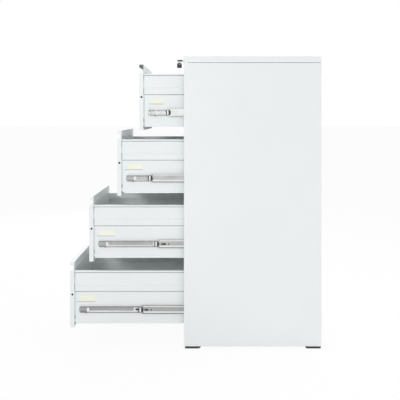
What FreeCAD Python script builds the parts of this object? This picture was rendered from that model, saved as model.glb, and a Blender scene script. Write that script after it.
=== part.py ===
import FreeCAD, Part
import math
import os
import re
import Sketcher
from collections import namedtuple
from FreeCAD import Placement, Rotation, Vector

# Four-drawer vertical filing cabinet in folded sheet steel, drawers standing open in steps.
# Millimetres, +Z up, front towards -Y. The origin is on the floor, under the middle of the carcass.

DRAWERS = (1, 2, 3, 4)
LOCK_SIDE = 1
NEAR = 1e-6

# Each size that can be set by itself: alias, value, what it measures.
SIZES = (
    ("carcass_width", 460.0, "outside width of the casing"),
    ("carcass_depth", 620.0, "outside depth of the casing"),
    ("carcass_height", 1320.0, "floor to the top of the cover"),
    ("shell_sheet", 0.9, "sheet of the casing"),
    ("shell_corner", 1.8, "outer bend radius of the top cover"),
    ("foot_height", 11.0, "floor to the underside of the casing"),
    ("foot_length", 72.0, "foot, front to back"),
    ("foot_width", 44.0, "foot, side to side"),
    ("foot_bevel", 7.0, "slope at the inner end of a foot"),
    ("foot_toe", 2.5, "upright edge under that slope"),
    ("foot_corner", 4.0, "rounding of a foot's upright edges"),
    ("foot_side_inset", 3.0, "foot behind the side face"),
    ("foot_front_inset", 4.5, "front foot behind the front face"),
    ("foot_back_inset", 1.5, "rear foot ahead of the back face"),
    ("foot_stud_width", 8.0, "square stud on top of a foot"),
    ("foot_stud_length", 7.0, "length of that stud"),
    ("stud_clearance", 0.1, "play round the stud"),
    ("post_width", 18.0, "front post, seen from the front"),
    ("post_depth", 18.0, "front post, front to back"),
    ("back_flange", 15.0, "side panel's fold behind the back"),
    ("skirt_height", 29.0, "depth of the top cover's sides"),
    ("cover_seam", 1.6, "gap between cover and side panel"),
    ("rail_height", 35.0, "front rail over the top drawer"),
    ("rail_hem", 8.0, "upright hem at the back of that rail"),
    ("plinth_return", 16.0, "folds of the plinth"),
    ("pan_height", 20.0, "bottom pan over the underside"),
    ("pan_return", 30.0, "fold that carries the feet"),
    ("panel_play", 0.3, "play between parts that slip together"),
    ("back_fold", 12.0, "back panel's folds, top and bottom"),
    ("back_foot", 24.0, "back panel's lower edge over the underside"),
    ("back_bead_height", 26.0, "stiffening bead of the back panel"),
    ("back_bead_depth", 3.0, "how far that bead is pressed in"),
    ("slide_post_width", 40.0, "upright that carries the slides"),
    ("slide_post_depth", 17.4, "side panel to the slides"),
    ("slide_post_sheet", 1.2, "sheet of the uprights"),
    ("slide_post_setback", 25.0, "front face to the front upright"),
    ("hook_slot_width", 5.0, "slot in an upright for a slide's hook"),
    ("hook_slot_height", 18.0, "height of that slot"),
    ("front_height", 297.0, "drawer front"),
    ("front_gap", 2.0, "gap over and under a drawer front"),
    ("front_side_gap", 1.0, "gap beside a drawer front"),
    ("front_depth", 19.0, "drawer front, front to back"),
    ("front_sheet", 1.0, "sheet of the drawer front"),
    ("lip_face", 13.0, "upright nose of the pull"),
    ("lip_drop", 22.0, "lip top to the deep end of its underside"),
    ("pull_land", 3.5, "upright bottom of the pull's groove"),
    ("pull_foot", 45.5, "lip top to where the groove meets the face"),
    ("front_chamfer", 2.5, "bevel along the front's lower edge"),
    ("lip_band", 28.0, "fold down the back of the lip"),
    ("front_return", 12.0, "fold up the back of the front's lower edge"),
    ("cap_thickness", 2.0, "end cap of the pull"),
    ("cap_plug_length", 9.0, "how far that cap reaches into the lip"),
    ("cap_play", 0.15, "play between cap and lip"),
    ("pan_fold", 10.0, "lower fold of the front's inner pan"),
    ("side_sheet", 0.9, "sheet of the drawer's sides, back and floor"),
    ("side_top_drop", 41.0, "lip top to the drawer side's upper edge"),
    ("hem_width", 12.0, "hanging rail along the drawer side"),
    ("hem_leg", 29.0, "inner leg of that rail"),
    ("hem_nose", 9.0, "outer leg of that rail"),
    ("hem_out", 3.0, "how far that leg stands outside the side"),
    ("step_out", 4.0, "upper side outside the lower side"),
    ("step_drop", 136.5, "lip top to that step"),
    ("step_slope", 3.0, "height of the step's slope"),
    ("bead_drop", 105.5, "lip top to the drawer side's bead"),
    ("bead_height", 7.0, "foot of that bead"),
    ("bead_top", 2.5, "crown of that bead"),
    ("bead_out", 1.7, "how far that bead stands out"),
    ("floor_drop", 283.0, "lip top to the underside of the drawer"),
    ("floor_flange", 14.0, "side's fold under the drawer floor"),
    ("slide_tail", 29.0, "slide past the drawer's back"),
    ("notch_depth", 1.4, "relief notch in the side's front edge"),
    ("tray_bead_width", 22.0, "stiffening bead of the drawer floor"),
    ("tray_bead_height", 2.2, "height of that bead"),
    ("tray_bead_pitch", 120.0, "distance between those beads"),
    ("tray_play", 0.2, "drawer floor between the sides"),
    ("back_top_drop", 78.0, "lip top to the drawer back's upper edge"),
    ("back_hem", 11.0, "folds of the drawer back"),
    ("slide_thickness", 12.7, "drawer side to upright"),
    ("slide_length", 550.0, "length of each slide member"),
    ("slide_setback", 39.0, "drawer face to the slide's front end"),
    ("slide_drop", 218.0, "lip top to the middle of the slide"),
    ("slide_sheet", 1.2, "sheet of the slide members"),
    ("outer_height", 44.1, "cabinet member between its races"),
    ("outer_reach", 10.5, "cabinet member's legs"),
    ("middle_height", 36.0, "middle member"),
    ("middle_reach", 8.6, "middle member's legs"),
    ("middle_gap", 1.0, "middle member off the cabinet member"),
    ("inner_height", 27.0, "drawer member"),
    ("inner_reach", 8.4, "drawer member's legs"),
    ("race_offset", 5.4, "drawer side to the middle of the races"),
    ("race_width", 4.4, "ball race across the leg"),
    ("race_depth", 0.6, "depth of the ball race"),
    ("inner_nose", 6.0, "bevelled front end of the drawer member"),
    ("web_slot_length", 22.0, "fixing slot in the drawer member"),
    ("web_slot_half", 2.6, "half the width of that slot"),
    ("web_slot_bevel", 1.6, "bevel of that slot's corners"),
    ("web_slot_inset", 60.0, "member end to its first slot"),
    ("lever_reach", 22.0, "release lever, pivot to thumb pad"),
    ("lever_boss", 4.0, "half the lever's height at the pivot"),
    ("lever_neck", 2.4, "half the height of the lever at the pad"),
    ("lever_sheet", 1.8, "thickness of the lever"),
    ("lever_pad_length", 13.0, "thumb pad along the slide"),
    ("lever_pad_height", 6.0, "height of the thumb pad"),
    ("lever_pad_out", 3.2, "thumb pad outwards from the lever"),
    ("lever_gap", 0.4, "lever off the drawer member"),
    ("lever_setback", 286.0, "member's front end to the pivot"),
    ("pivot_radius", 1.5, "square shank that carries the lever, across its corners"),
    ("pivot_clearance", 0.06, "play round that rivet"),
    ("lock_inset", 34.0, "side face to the lock's axis"),
    ("lock_drop", 18.0, "top of the cabinet to the lock's axis"),
    ("rim_radius", 9.0, "rim of the lock"),
    ("rim_height", 3.0, "rim in front of the rail"),
    ("barrel_radius", 8.0, "lock housing"),
    ("barrel_length", 17.0, "lock housing behind the rail's face"),
    ("plug_radius", 6.0, "turning plug of the lock"),
    ("plug_clearance", 0.06, "play round the plug"),
    ("plug_proud", 0.6, "plug in front of the rim"),
    ("plug_tail", 18.5, "plug behind the rail's face"),
    ("key_blade_width", 7.0, "key blade"),
    ("key_blade_sheet", 2.0, "thickness of the blade"),
    ("keyway_play", 0.15, "keyway round the blade"),
    ("key_in_plug", 13.0, "blade inside the lock"),
    ("key_shank", 4.6, "bare blade between lock and head"),
    ("key_head_length", 20.0, "head of the key, along the blade"),
    ("key_head_width", 18.0, "head of the key, across the blade"),
    ("key_head_sheet", 4.0, "thickness of the head"),
    ("key_shoulder", 6.0, "sloping shoulders of the head"),
    ("key_hole_radius", 3.9, "hole for the ring"),
    ("key_hole_inset", 7.1, "end of the head to that hole"),
    ("key_edge", 0.7, "softened edge of the head"),
    ("cam_radius", 7.5, "half the width of the cam plate"),
    ("cam_sheet", 2.0, "thickness of the cam plate"),
    ("cam_pin_radius", 1.75, "drive pin of the cam"),
    ("cam_pin_length", 3.0, "length of the drive pin"),
    ("bar_stroke", 6.4, "sideways travel of the lock bar"),
    ("bar_width", 12.0, "lock bar, front to back"),
    ("bar_sheet", 1.5, "thickness of the lock bar"),
    ("bar_front_gap", 4.0, "lock bar behind the front face"),
    ("bar_leg_gap", 0.3, "locked bar off the post's inner leg"),
    ("bar_foot", 40.0, "lock bar's lower end under the last bolt"),
    ("tongue_height", 12.0, "tongue that the cam drives"),
    ("tongue_gap", 1.0, "tongue behind the cam plate"),
    ("tongue_end", 8.0, "tongue past the cam pin"),
    ("slot_play", 0.35, "play of the cam pin in its slot"),
    ("bolt_radius", 2.2, "lock bolt"),
    ("bolt_play", 1.3, "play round a lock bolt"),
    ("bolt_setback", 10.4, "drawer face to the lock bolt"),
    ("bolt_drop", 148.0, "lip top to the lock bolt"),
    ("ring_radius", 9.6, "key ring, to the middle of its wire"),
    ("ring_wire", 0.65, "half the width of the ring's wire"),
    ("ring_rest", 0.2, "ring off the head that it hangs on"),
    ("hang_gap", 0.6, "ring's wire off the spare key's hole"),
    ("drawer_1_open", 204.0, "top drawer pulled out"),
    ("drawer_2_open", 304.0, "second drawer pulled out"),
    ("drawer_3_open", 431.0, "third drawer pulled out"),
    ("drawer_4_open", 518.0, "bottom drawer pulled out"),
    ("middle_1_open", 106.0, "top drawer's middle slides pulled out"),
    ("middle_2_open", 188.0, "second drawer's middle slides pulled out"),
    ("middle_3_open", 159.0, "third drawer's middle slides pulled out"),
    ("middle_4_open", 231.0, "bottom drawer's middle slides pulled out"),
)

# Relief notches in a drawer side's front edge, lip top to the notch's upper and lower end.
SIDE_NOTCHES = ((46.0, 75.0), (100.0, 134.0), (244.0, 262.0), (276.0, 282.0))

# Places worked out from the sizes, measured in the cabinet's own frame.
HALF_WIDTH = "(carcass_width / 2)"
FRONT_Y = "(-carcass_depth / 2)"
BACK_Y = "(carcass_depth / 2)"
POST_X = f"({HALF_WIDTH} - post_width)"
TRACK_X = f"({HALF_WIDTH} - shell_sheet - slide_post_depth)"
SIDE_X = f"({TRACK_X} - slide_thickness)"
UPPER_X = f"({SIDE_X} + step_out)"
RACE_X = f"({SIDE_X} + race_offset)"
FRONT_HALF = f"({POST_X} - front_side_gap)"
RAIL_Z = "(carcass_height - rail_height)"
PITCH = "(front_height + front_gap)"
PLINTH_Z = f"({RAIL_Z} - {len(DRAWERS)} * {PITCH} - front_gap)"
SKIRT_Z = "(carcass_height - skirt_height)"
FLOOR_TOP = "(-floor_drop + side_sheet)"
DRAWER_LENGTH = "(slide_setback + slide_length - slide_tail)"
INNER_X = f"({SIDE_X} - side_sheet)"
LOCK_X = f"({LOCK_SIDE} * ({HALF_WIDTH} - lock_inset))"
LOCK_Z = "(carcass_height - lock_drop)"
PIN_THROW = "(bar_stroke / 2)"
GROOVE_DEPTH = "(front_depth - 2 * front_sheet - cap_play)"
HEAD_FOOT = "(rim_height + key_shank)"
HEAD_END = f"({HEAD_FOOT} + key_head_length)"
RING_OUT = "((key_head_width / 2 + key_hole_radius) / 2)"
RING_BRIDGE = "((key_head_width / 2 - key_hole_radius) / 2)"
RING_DROP = f"(sqrt((ring_radius - ring_wire)^2 - {RING_BRIDGE}^2) - key_head_sheet / 2 - ring_rest)"

View = namedtuple("View", "turn axis pull hand")

# How an outline lies when it is seen from the top, the front or the side, the axis that it is pulled
# along, and the sign that puts metal to the left of its line.
TOP = View(Rotation(), "z", Vector(0, 0, 1), -1)
FRONT = View(Rotation(Vector(1, 0, 0), 90), "y", Vector(0, 1, 0), 1)
SIDE = View(Rotation(Vector(1, 1, 1), 120), "x", Vector(1, 0, 0), -1)

doc = FreeCAD.newDocument("FilingCabinet")
sizes = doc.addObject("Spreadsheet::Sheet", "Sizes")
nodes = []


# Sizes and their links

def fill_sheet():
    """Writes every driving dimension into the sheet, with its alias."""
    for row, (alias, number, meaning) in enumerate(SIZES, start=1):
        sizes.set(f"A{row}", meaning)
        sizes.set(f"B{row}", str(number))
        sizes.setAlias(f"B{row}", alias)
    doc.recompute()


ALIASES = {alias for alias, _, _ in SIZES}


def linked(words):
    """The expression with each alias pointing at the sheet."""
    return re.sub(r"[a-z]\w+", lambda m: ("Sizes." if m.group(0) in ALIASES else "") + m.group(0), words)


def value(words):
    """The number that an expression in aliases stands for."""
    return float(sizes.evalExpression(words))


def bind(thing, prop, words):
    """Ties a property to the sheet."""
    thing.setExpression(prop, linked(words))


def place(thing, x="0", y="0", z="0"):
    """Ties an object's place to the sheet."""
    for axis, words in zip("xyz", (x, y, z)):
        if words != "0":
            bind(thing, f"Placement.Base.{axis}", words)
    return thing


def node(thing, label):
    """Names a finished sub-part."""
    thing.Label = label
    nodes.append(thing)
    return thing


# Sketches

def draw(sketch, path, closed):
    """Draws straight runs from point to point, and ties each point to the sheet."""
    points = [Vector(value(u), value(v), 0) for u, v in path]
    ends = points[1:] + (points[:1] if closed else [])
    runs = [sketch.addGeometry(Part.LineSegment(start, end), False) for start, end in zip(points, ends)]
    for run, follower in zip(runs, runs[1:] + (runs[:1] if closed else [])):
        sketch.addConstraint(Sketcher.Constraint("Coincident", run, 2, follower, 1))
    for i, (u, v) in enumerate(path):
        run, end = (runs[i], 1) if i < len(runs) else (runs[-1], 2)
        for kind, words, number in (("DistanceX", u, points[i].x), ("DistanceY", v, points[i].y)):
            tie = sketch.addConstraint(Sketcher.Constraint(kind, -1, 1, run, end, number))
            sketch.setExpression(f"Constraints[{tie}]", linked(words))
    return sketch


def free_sketch(name, view, path, closed, start):
    """A sketch seen from the top, front or side, at a distance along that view."""
    sketch = doc.addObject("Sketcher::SketchObject", name)
    sketch.Placement = Placement(Vector(), view.turn)
    bind(sketch, f"Placement.Base.{view.axis}", start)
    return draw(sketch, path, closed)


def plane_sketch(body, name, role, lift):
    """An empty sketch on one of a body's own origin planes, lifted off it."""
    sketch = body.newObject("Sketcher::SketchObject", name)
    plane = next(f for f in body.Origin.OriginFeatures if f.Role == role)
    sketch.AttachmentSupport = [(plane, "")]
    sketch.MapMode = "FlatFace"
    bind(sketch, "AttachmentOffset.Base.z", lift)
    return sketch


def body_sketch(body, name, role, path, lift="0"):
    """A closed outline on one of a body's own origin planes."""
    sketch = draw(plane_sketch(body, name, role, lift), path, True)
    doc.recompute()
    return sketch


def body_circle(body, name, role, centre, radius, lift="0"):
    """A circle on one of a body's own origin planes."""
    sketch = plane_sketch(body, name, role, lift)
    middle = Vector(value(centre[0]), value(centre[1]), 0)
    ring = sketch.addGeometry(Part.Circle(middle, Vector(0, 0, 1), value(radius)), False)
    ties = (
        (Sketcher.Constraint("DistanceX", -1, 1, ring, 3, middle.x), centre[0]),
        (Sketcher.Constraint("DistanceY", -1, 1, ring, 3, middle.y), centre[1]),
        (Sketcher.Constraint("Radius", ring, value(radius)), radius),
    )
    for constraint, words in ties:
        sketch.setExpression(f"Constraints[{sketch.addConstraint(constraint)}]", linked(words))
    doc.recompute()
    return sketch


def rectangle(u0, v0, u1, v1):
    """The corners of a rectangle, anticlockwise."""
    return [(u0, v0), (u1, v0), (u1, v1), (u0, v1)]


# Solids

def extrude(name, profile, length, view):
    """Pulls a profile along its view, towards +X, +Y or +Z."""
    run = doc.addObject("Part::Extrusion", name)
    run.Base = profile
    run.DirMode = "Custom"
    run.Dir = view.pull
    run.Solid = True
    bind(run, "LengthFwd", length)
    return run


def folded(name, view, path, metal, side, start, length):
    """A folded sheet: an open outline, its metal left (1) or right (-1) of the line, and its run."""
    line = free_sketch(f"{name}_line", view, path, False, start)
    skin = doc.addObject("Part::Offset2D", f"{name}_skin")
    skin.Source = line
    skin.Mode = 0
    skin.Join = 0
    skin.Fill = True
    bind(skin, "Value", f"{side * view.hand} * ({metal})")
    return extrude(f"{name}_run", skin, length, view)


def prism(name, view, path, start, length):
    """A closed outline pulled along its view."""
    return extrude(f"{name}_prism", free_sketch(f"{name}_outline", view, path, True, start), length, view)


def block(name, low, high):
    """A box between two corners."""
    box = doc.addObject("Part::Box", name)
    for prop, near, far in zip(("Length", "Width", "Height"), low, high):
        bind(box, prop, f"({far}) - ({near})")
    return place(box, *[f"{words} + 0" for words in low])


def rod(name, axis, radius, centre, length):
    """A cylinder from a centre towards +X, +Y or +Z."""
    pin = doc.addObject("Part::Cylinder", name)
    turn = {"X": Rotation(Vector(0, 1, 0), 90), "Y": Rotation(Vector(1, 0, 0), -90), "Z": Rotation()}[axis]
    pin.Placement = Placement(Vector(), turn)
    bind(pin, "Radius", radius)
    bind(pin, "Height", length)
    return place(pin, *centre)


def fuse(name, pieces):
    """Joins pieces into one solid."""
    whole = doc.addObject("Part::MultiFuse", name)
    whole.Shapes = pieces
    return whole


def cut(name, base, tools):
    """Takes tools out of a base."""
    left = doc.addObject("Part::Cut", name)
    left.Base = base
    left.Tool = tools[0] if len(tools) == 1 else fuse(f"{name}_tools", tools)
    return left


def common(name, base, tool):
    """Keeps what a base and a tool share."""
    shared = doc.addObject("Part::Common", name)
    shared.Base = base
    shared.Tool = tool
    return shared


def group(name, pieces):
    """Holds separate solids in one node."""
    held = doc.addObject("Part::Compound", name)
    held.Links = pieces
    return held


def mirrored(name, source):
    """The left-hand copy of a right-hand piece."""
    copy = doc.addObject("Part::Mirroring", name)
    copy.Source = source
    copy.Normal = Vector(1, 0, 0)
    return copy


def pair(label, right, y="0", z="0"):
    """A node with a right-hand piece and its left-hand copy."""
    held = group(label, [right, mirrored(f"{label}_copy", right)])
    return node(place(held, y=y, z=z), label)


def new_body(name):
    """An empty body."""
    return doc.addObject("PartDesign::Body", name)


def pad(body, sketch, length, reverse=False, middle=False):
    """Adds metal to a body from a sketch."""
    feature = body.newObject("PartDesign::Pad", f"{sketch.Name}_pad")
    feature.Profile = sketch
    feature.Reversed = reverse
    feature.Midplane = middle
    bind(feature, "Length", length)
    doc.recompute()
    return feature


def pocket(body, sketch, length, reverse=False, middle=False):
    """Takes metal from a body, and makes sure that it took some."""
    before = body.Shape.Volume
    feature = body.newObject("PartDesign::Pocket", f"{sketch.Name}_pocket")
    feature.Profile = sketch
    feature.Reversed = reverse
    feature.Midplane = middle
    bind(feature, "Length", length)
    doc.recompute()
    if not body.Shape.Volume < before:
        raise RuntimeError(f"{feature.Name} takes nothing away")
    return feature


def revolve(body, sketch):
    """Turns a sketch round its own upright axis."""
    feature = body.newObject("PartDesign::Revolution", f"{sketch.Name}_turned")
    feature.Profile = sketch
    feature.ReferenceAxis = (sketch, ["V_Axis"])
    feature.Angle = 360
    doc.recompute()
    return feature


def at(number, target):
    """Whether two coordinates are one."""
    return math.isclose(number, target, abs_tol=NEAR)


def edges_where(shape, test):
    """The names of the edges whose two ends and middle pass a test."""
    found = []
    for i, edge in enumerate(shape.Edges, start=1):
        middle = edge.valueAt((edge.FirstParameter + edge.LastParameter) / 2)
        if test(middle) and all(test(v.Point) for v in edge.Vertexes):
            found.append(f"Edge{i}")
    return found


def soften(body, kind, base, names, prop, words):
    """Rounds or bevels named edges of a body."""
    feature = body.newObject(f"PartDesign::{kind}", f"{body.Name}_{kind.lower()}_{len(body.Group)}")
    feature.Base = (base, names)
    bind(feature, prop, words)
    doc.recompute()
    return feature


# Casing

def lip_z(number):
    """Height of a drawer's lip."""
    return f"({RAIL_Z} - front_gap - {number - 1} * {PITCH})"


def side_panel():
    """Right side: front post, side, and fold behind the back, in one sheet."""
    outline = [
        (POST_X, f"{FRONT_Y} + post_depth"),
        (POST_X, FRONT_Y),
        (HALF_WIDTH, FRONT_Y),
        (HALF_WIDTH, BACK_Y),
        (f"{HALF_WIDTH} - back_flange", BACK_Y),
    ]
    sheet = folded("side", TOP, outline, "shell_sheet", 1, "foot_height",
                   "carcass_height - shell_sheet - foot_height")
    low = (f"{HALF_WIDTH} - back_flange - 1", f"{FRONT_Y} + post_depth", f"{SKIRT_Z} - cover_seam")
    step = block("side_step", low, (f"{HALF_WIDTH} + 1", f"{BACK_Y} + 1", "carcass_height"))
    return cut("side_body", sheet, [step])


def side_panels():
    """Both side panels. The one beside the lock has slots for the lock bolts."""
    plain = side_panel()
    half, middle = "(bolt_radius + bolt_play)", f"({FRONT_Y} + bolt_setback)"
    near, far = f"({POST_X} - 1)", f"({POST_X} + shell_sheet + 1)"
    holes = []
    for n in DRAWERS:
        level = f"({lip_z(n)} - bolt_drop)"
        holes.append(block(f"bolt_slot_{n}", (near, f"{middle} - {half}", f"{level} - 2 * {half}"),
                           (far, f"{middle} + {half}", f"{level} + 2 * {half}")))
    node(cut("side_panel_right", plain, holes), "side_panel_right")
    node(mirrored("side_panel_left", plain), "side_panel_left")


def top_cover():
    """A tray over the casing. Its skirt leaves the front posts bare."""
    body = new_body("top_cover")
    full = rectangle(f"-{HALF_WIDTH}", FRONT_Y, HALF_WIDTH, BACK_Y)
    slab = pad(body, body_sketch(body, "cover_slab", "XY_Plane", full), "skirt_height")
    half_x, half_y, top = value(HALF_WIDTH), value(BACK_Y), value("skirt_height")
    on_top = edges_where(slab.Shape, lambda p: at(p.z, top))
    upright = edges_where(slab.Shape, lambda p: at(abs(p.x), half_x) and at(p.y, half_y))
    soften(body, "Fillet", slab, on_top + upright, "Radius", "shell_corner")
    hollow = rectangle(f"-{HALF_WIDTH} + shell_sheet", f"{FRONT_Y} + shell_sheet",
                       f"{HALF_WIDTH} - shell_sheet", f"{BACK_Y} - shell_sheet")
    mouth = rectangle(f"-{HALF_WIDTH} - 1", f"{FRONT_Y} - 1", f"{HALF_WIDTH} + 1", f"{FRONT_Y} + post_depth")
    for name, outline in (("cover_hollow", hollow), ("cover_mouth", mouth)):
        sketch = body_sketch(body, name, "XY_Plane", outline)
        pocket(body, sketch, "skirt_height - shell_sheet", reverse=True)
    node(place(body, z=SKIRT_Z), "top_cover")


def back_panel():
    """Sheet behind the side panels' folds, with three pressed beads and folded edges."""
    plane = f"({BACK_Y} - shell_sheet)"
    foot, head = "(foot_height + back_foot)", "(carcass_height - 3 * shell_sheet)"
    outline = [(f"{plane} - back_fold", foot), (plane, foot)]
    for share in (1, 2, 3):
        middle = f"({foot} + ({head} - {foot}) * {share} / 4)"
        for rise, depth in ((-0.5, 0), (-0.25, 1), (0.25, 1), (0.5, 0)):
            deep = f"{plane} - {depth} * back_bead_depth"
            outline.append((deep, f"{middle} + ({rise}) * back_bead_height"))
    outline += [(plane, head), (f"{plane} - back_fold", head)]
    half = f"({HALF_WIDTH} - shell_sheet - panel_play)"
    node(folded("back", SIDE, outline, "shell_sheet", 1, f"-{half}", f"2 * {half}"), "back_panel")


def bottom_pan():
    """Inverted channel between the sides. Its inner folds carry the feet."""
    edge = f"({HALF_WIDTH} - shell_sheet - panel_play)"
    foot, top = "foot_height", "(foot_height + pan_height)"
    outline = [
        (f"{edge} - pan_return", foot), (edge, foot), (edge, top),
        (f"-{edge}", top), (f"-{edge}", foot), (f"-{edge} + pan_return", foot),
    ]
    start, end = f"({FRONT_Y} + post_depth)", f"({BACK_Y} - 2 * shell_sheet)"
    sheet = folded("pan", FRONT, outline, "shell_sheet", 1, start, f"{end} - {start}")
    half = "(foot_stud_width / 2 + stud_clearance)"
    holes = [
        block(f"stud_hole_{i}", (f"{x} - {half}", f"{y} - {half}", "foot_height - 1"),
              (f"{x} + {half}", f"{y} + {half}", "foot_height + shell_sheet + 1"))
        for i, (x, y) in enumerate(foot_places())
    ]
    node(cut("bottom_pan", sheet, holes), "bottom_pan")


def foot_places():
    """Middles of the four feet: front right, front left, rear right, rear left."""
    across = f"({HALF_WIDTH} - foot_side_inset - foot_width / 2)"
    front = f"({FRONT_Y} + foot_front_inset + foot_length / 2)"
    rear = f"({BACK_Y} - foot_back_inset - foot_length / 2)"
    return [(x, y) for y in (front, rear) for x in (across, f"-{across}")]


def foot(name, y, towards_back):
    """A moulded foot, bevelled at its inner end, with a stud that snaps into the pan."""
    body = new_body(name)
    outer, inner = f"-{towards_back} * foot_length / 2", f"{towards_back} * foot_length / 2"
    outline = [(outer, "0"), (f"{inner} - {towards_back} * foot_bevel", "0"),
               (inner, "foot_height - foot_toe"), (inner, "foot_height"), (outer, "foot_height")]
    sole = pad(body, body_sketch(body, f"{name}_sole", "YZ_Plane", outline), "foot_width", middle=True)
    half, end = value("foot_width / 2"), value(outer)
    upright = edges_where(sole.Shape, lambda p: at(abs(p.x), half) and at(p.y, end))
    soften(body, "Fillet", sole, upright, "Radius", "foot_corner")
    reach = "foot_stud_width / 2"
    stud = rectangle(f"-{reach}", f"-{reach}", reach, reach)
    pad(body, body_sketch(body, f"{name}_stud", "XY_Plane", stud, "foot_height - foot_toe"),
        "foot_stud_length + foot_toe")
    return place(body, foot_places()[0][0], y, "0")


def feet():
    """Two pairs of feet, their bevels facing each other."""
    places = foot_places()
    pair("feet_front", foot("front_foot", places[0][1], 1))
    pair("feet_rear", foot("rear_foot", places[2][1], -1))


def plinth():
    """Kick plate under the bottom drawer, folded back at both edges."""
    outline = [(f"{FRONT_Y} + plinth_return", PLINTH_Z), (FRONT_Y, PLINTH_Z),
               (FRONT_Y, "foot_height"), (f"{FRONT_Y} + plinth_return", "foot_height")]
    node(folded("kick", SIDE, outline, "shell_sheet", 1, f"-{POST_X}", f"2 * {POST_X}"), "plinth")


def top_rail():
    """Folded rail over the top drawer, with the hole for the lock."""
    deep = f"({FRONT_Y} + post_depth)"
    outline = [(deep, f"{RAIL_Z} + rail_hem"), (deep, RAIL_Z), (FRONT_Y, RAIL_Z),
               (FRONT_Y, "carcass_height - shell_sheet"), (deep, "carcass_height - shell_sheet")]
    sheet = folded("rail", SIDE, outline, "shell_sheet", -1, f"-{POST_X}", f"2 * {POST_X}")
    hole = rod("lock_hole", "Y", "barrel_radius", (LOCK_X, f"{FRONT_Y} - 1", LOCK_Z), "shell_sheet + 2")
    node(cut("top_rail", sheet, [hole]), "top_rail")


def slide_post(name, start):
    """Right-hand upright channel with hook slots for the four slides."""
    body = new_body(name)
    wall, sheet = f"({HALF_WIDTH} - shell_sheet)", "slide_post_sheet"
    end = f"({start} + slide_post_width)"
    outline = [
        (wall, start), (TRACK_X, start), (TRACK_X, end), (wall, end), (wall, f"{end} - {sheet}"),
        (f"{TRACK_X} + {sheet}", f"{end} - {sheet}"), (f"{TRACK_X} + {sheet}", f"{start} + {sheet}"),
        (wall, f"{start} + {sheet}"),
    ]
    base, top = "(foot_height + pan_height)", f"({RAIL_Z} + rail_hem)"
    pad(body, body_sketch(body, f"{name}_section", "XY_Plane", outline, lift=base), f"{top} - {base}")
    middle, level = f"({start} + slide_post_width / 2)", f"({lip_z(DRAWERS[-1])} - slide_drop)"
    slot = rectangle(f"{middle} - hook_slot_width / 2", f"{level} - hook_slot_height / 2",
                     f"{middle} + hook_slot_width / 2", f"{level} + hook_slot_height / 2")
    sketch = body_sketch(body, f"{name}_slot", "YZ_Plane", slot, lift=f"{TRACK_X} - 1")
    hole = pocket(body, sketch, f"{sheet} + 2", reverse=True)
    rows = body.newObject("PartDesign::LinearPattern", f"{name}_slots")
    rows.Originals = [hole]
    rows.Direction = (next(f for f in body.Origin.OriginFeatures if f.Role == "Z_Axis"), [""])
    rows.Occurrences = len(DRAWERS)
    bind(rows, "Length", f"{len(DRAWERS) - 1} * {PITCH}")
    body.Tip = rows
    doc.recompute()
    return body


def slide_posts():
    """Front and rear pairs of uprights."""
    pair("slide_posts_front", slide_post("front_post", f"({FRONT_Y} + slide_post_setback)"))
    rear = f"({FRONT_Y} + slide_setback + slide_length - slide_post_width + 6)"
    pair("slide_posts_rear", slide_post("rear_post", rear))


# Slides

def channel(name, web, towards, height, reach, rolled):
    """One slide member: a web and two legs, each with a rolled ball race where asked."""
    half, tip = f"({height} / 2)", f"({web} + ({towards}) * {reach})"
    legs = []
    if rolled:
        for across, sunk in ((-0.5, 0), (-0.2, 1), (0.2, 1), (0.5, 0)):
            legs.append((f"{RACE_X} + ({across * towards}) * race_width", f"{half} - {sunk} * race_depth"))
    low = [(x, f"-({z})") for x, z in reversed(legs)]
    outline = [(tip, f"-{half}"), *low, (web, f"-{half}"), (web, half), *legs, (tip, half)]
    return folded(name, FRONT, outline, "slide_sheet", -towards, "0", "slide_length")


def outer_members():
    """Cabinet members, four on each side."""
    section = channel("outer", TRACK_X, -1, "outer_height", "outer_reach", False)
    rows = []
    for n in DRAWERS:
        copy = doc.addObject("App::Link", f"outer_{n}")
        copy.LinkedObject = section
        rows.append(place(copy, y=f"{FRONT_Y} + slide_setback", z=f"{lip_z(n)} - slide_drop"))
    right = node(group("slide_outer_right", rows), "slide_outer_right")
    node(mirrored("slide_outer_left", right), "slide_outer_left")


def middle_members(number):
    """A drawer's pair of middle members."""
    web = f"({TRACK_X} - slide_sheet - middle_gap)"
    section = channel(f"middle_{number}", web, -1, "middle_height", "middle_reach", True)
    pair(f"slide_middle_{number}", section,
         f"{FRONT_Y} + slide_setback - middle_{number}_open", f"{lip_z(number)} - slide_drop")


def inner_members(number):
    """A drawer's own pair of members: round nose, fixing slots and the rivet for the lever."""
    tag = f"inner_{number}"
    section = channel(tag, SIDE_X, 1, "inner_height", "inner_reach", True)
    half = "(inner_height / 2 + 1)"
    end = "slide_length + 1"
    nose = [("0", "-inner_height / 2 + inner_nose"), ("inner_nose", f"-{half}"), (end, f"-{half}"),
            (end, half), ("inner_nose", half), ("0", "inner_height / 2 - inner_nose")]
    bevel = prism(f"{tag}_nose", SIDE, nose, f"{SIDE_X} - 1", "inner_reach + 2")
    shaped = common(f"{tag}_shaped", section, bevel)
    slots = [slot(f"{tag}_slot_{i}", middle)
             for i, middle in enumerate(("web_slot_inset", "slide_length - web_slot_inset"))]
    shank = "(pivot_radius * 0.7)"
    foot, head = f"({SIDE_X} + slide_sheet)", f"({SIDE_X} + slide_sheet + 2 * lever_gap + lever_sheet)"
    rivet = block(f"{tag}_rivet", (foot, f"lever_setback - {shank}", f"-{shank}"),
                  (head, f"lever_setback + {shank}", shank))
    made = fuse(f"{tag}_made", [cut(f"{tag}_slotted", shaped, slots), rivet])
    pair(f"drawer_{number}_slide_members", made,
         f"{FRONT_Y} + slide_setback - drawer_{number}_open", f"{lip_z(number)} - slide_drop")


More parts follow.
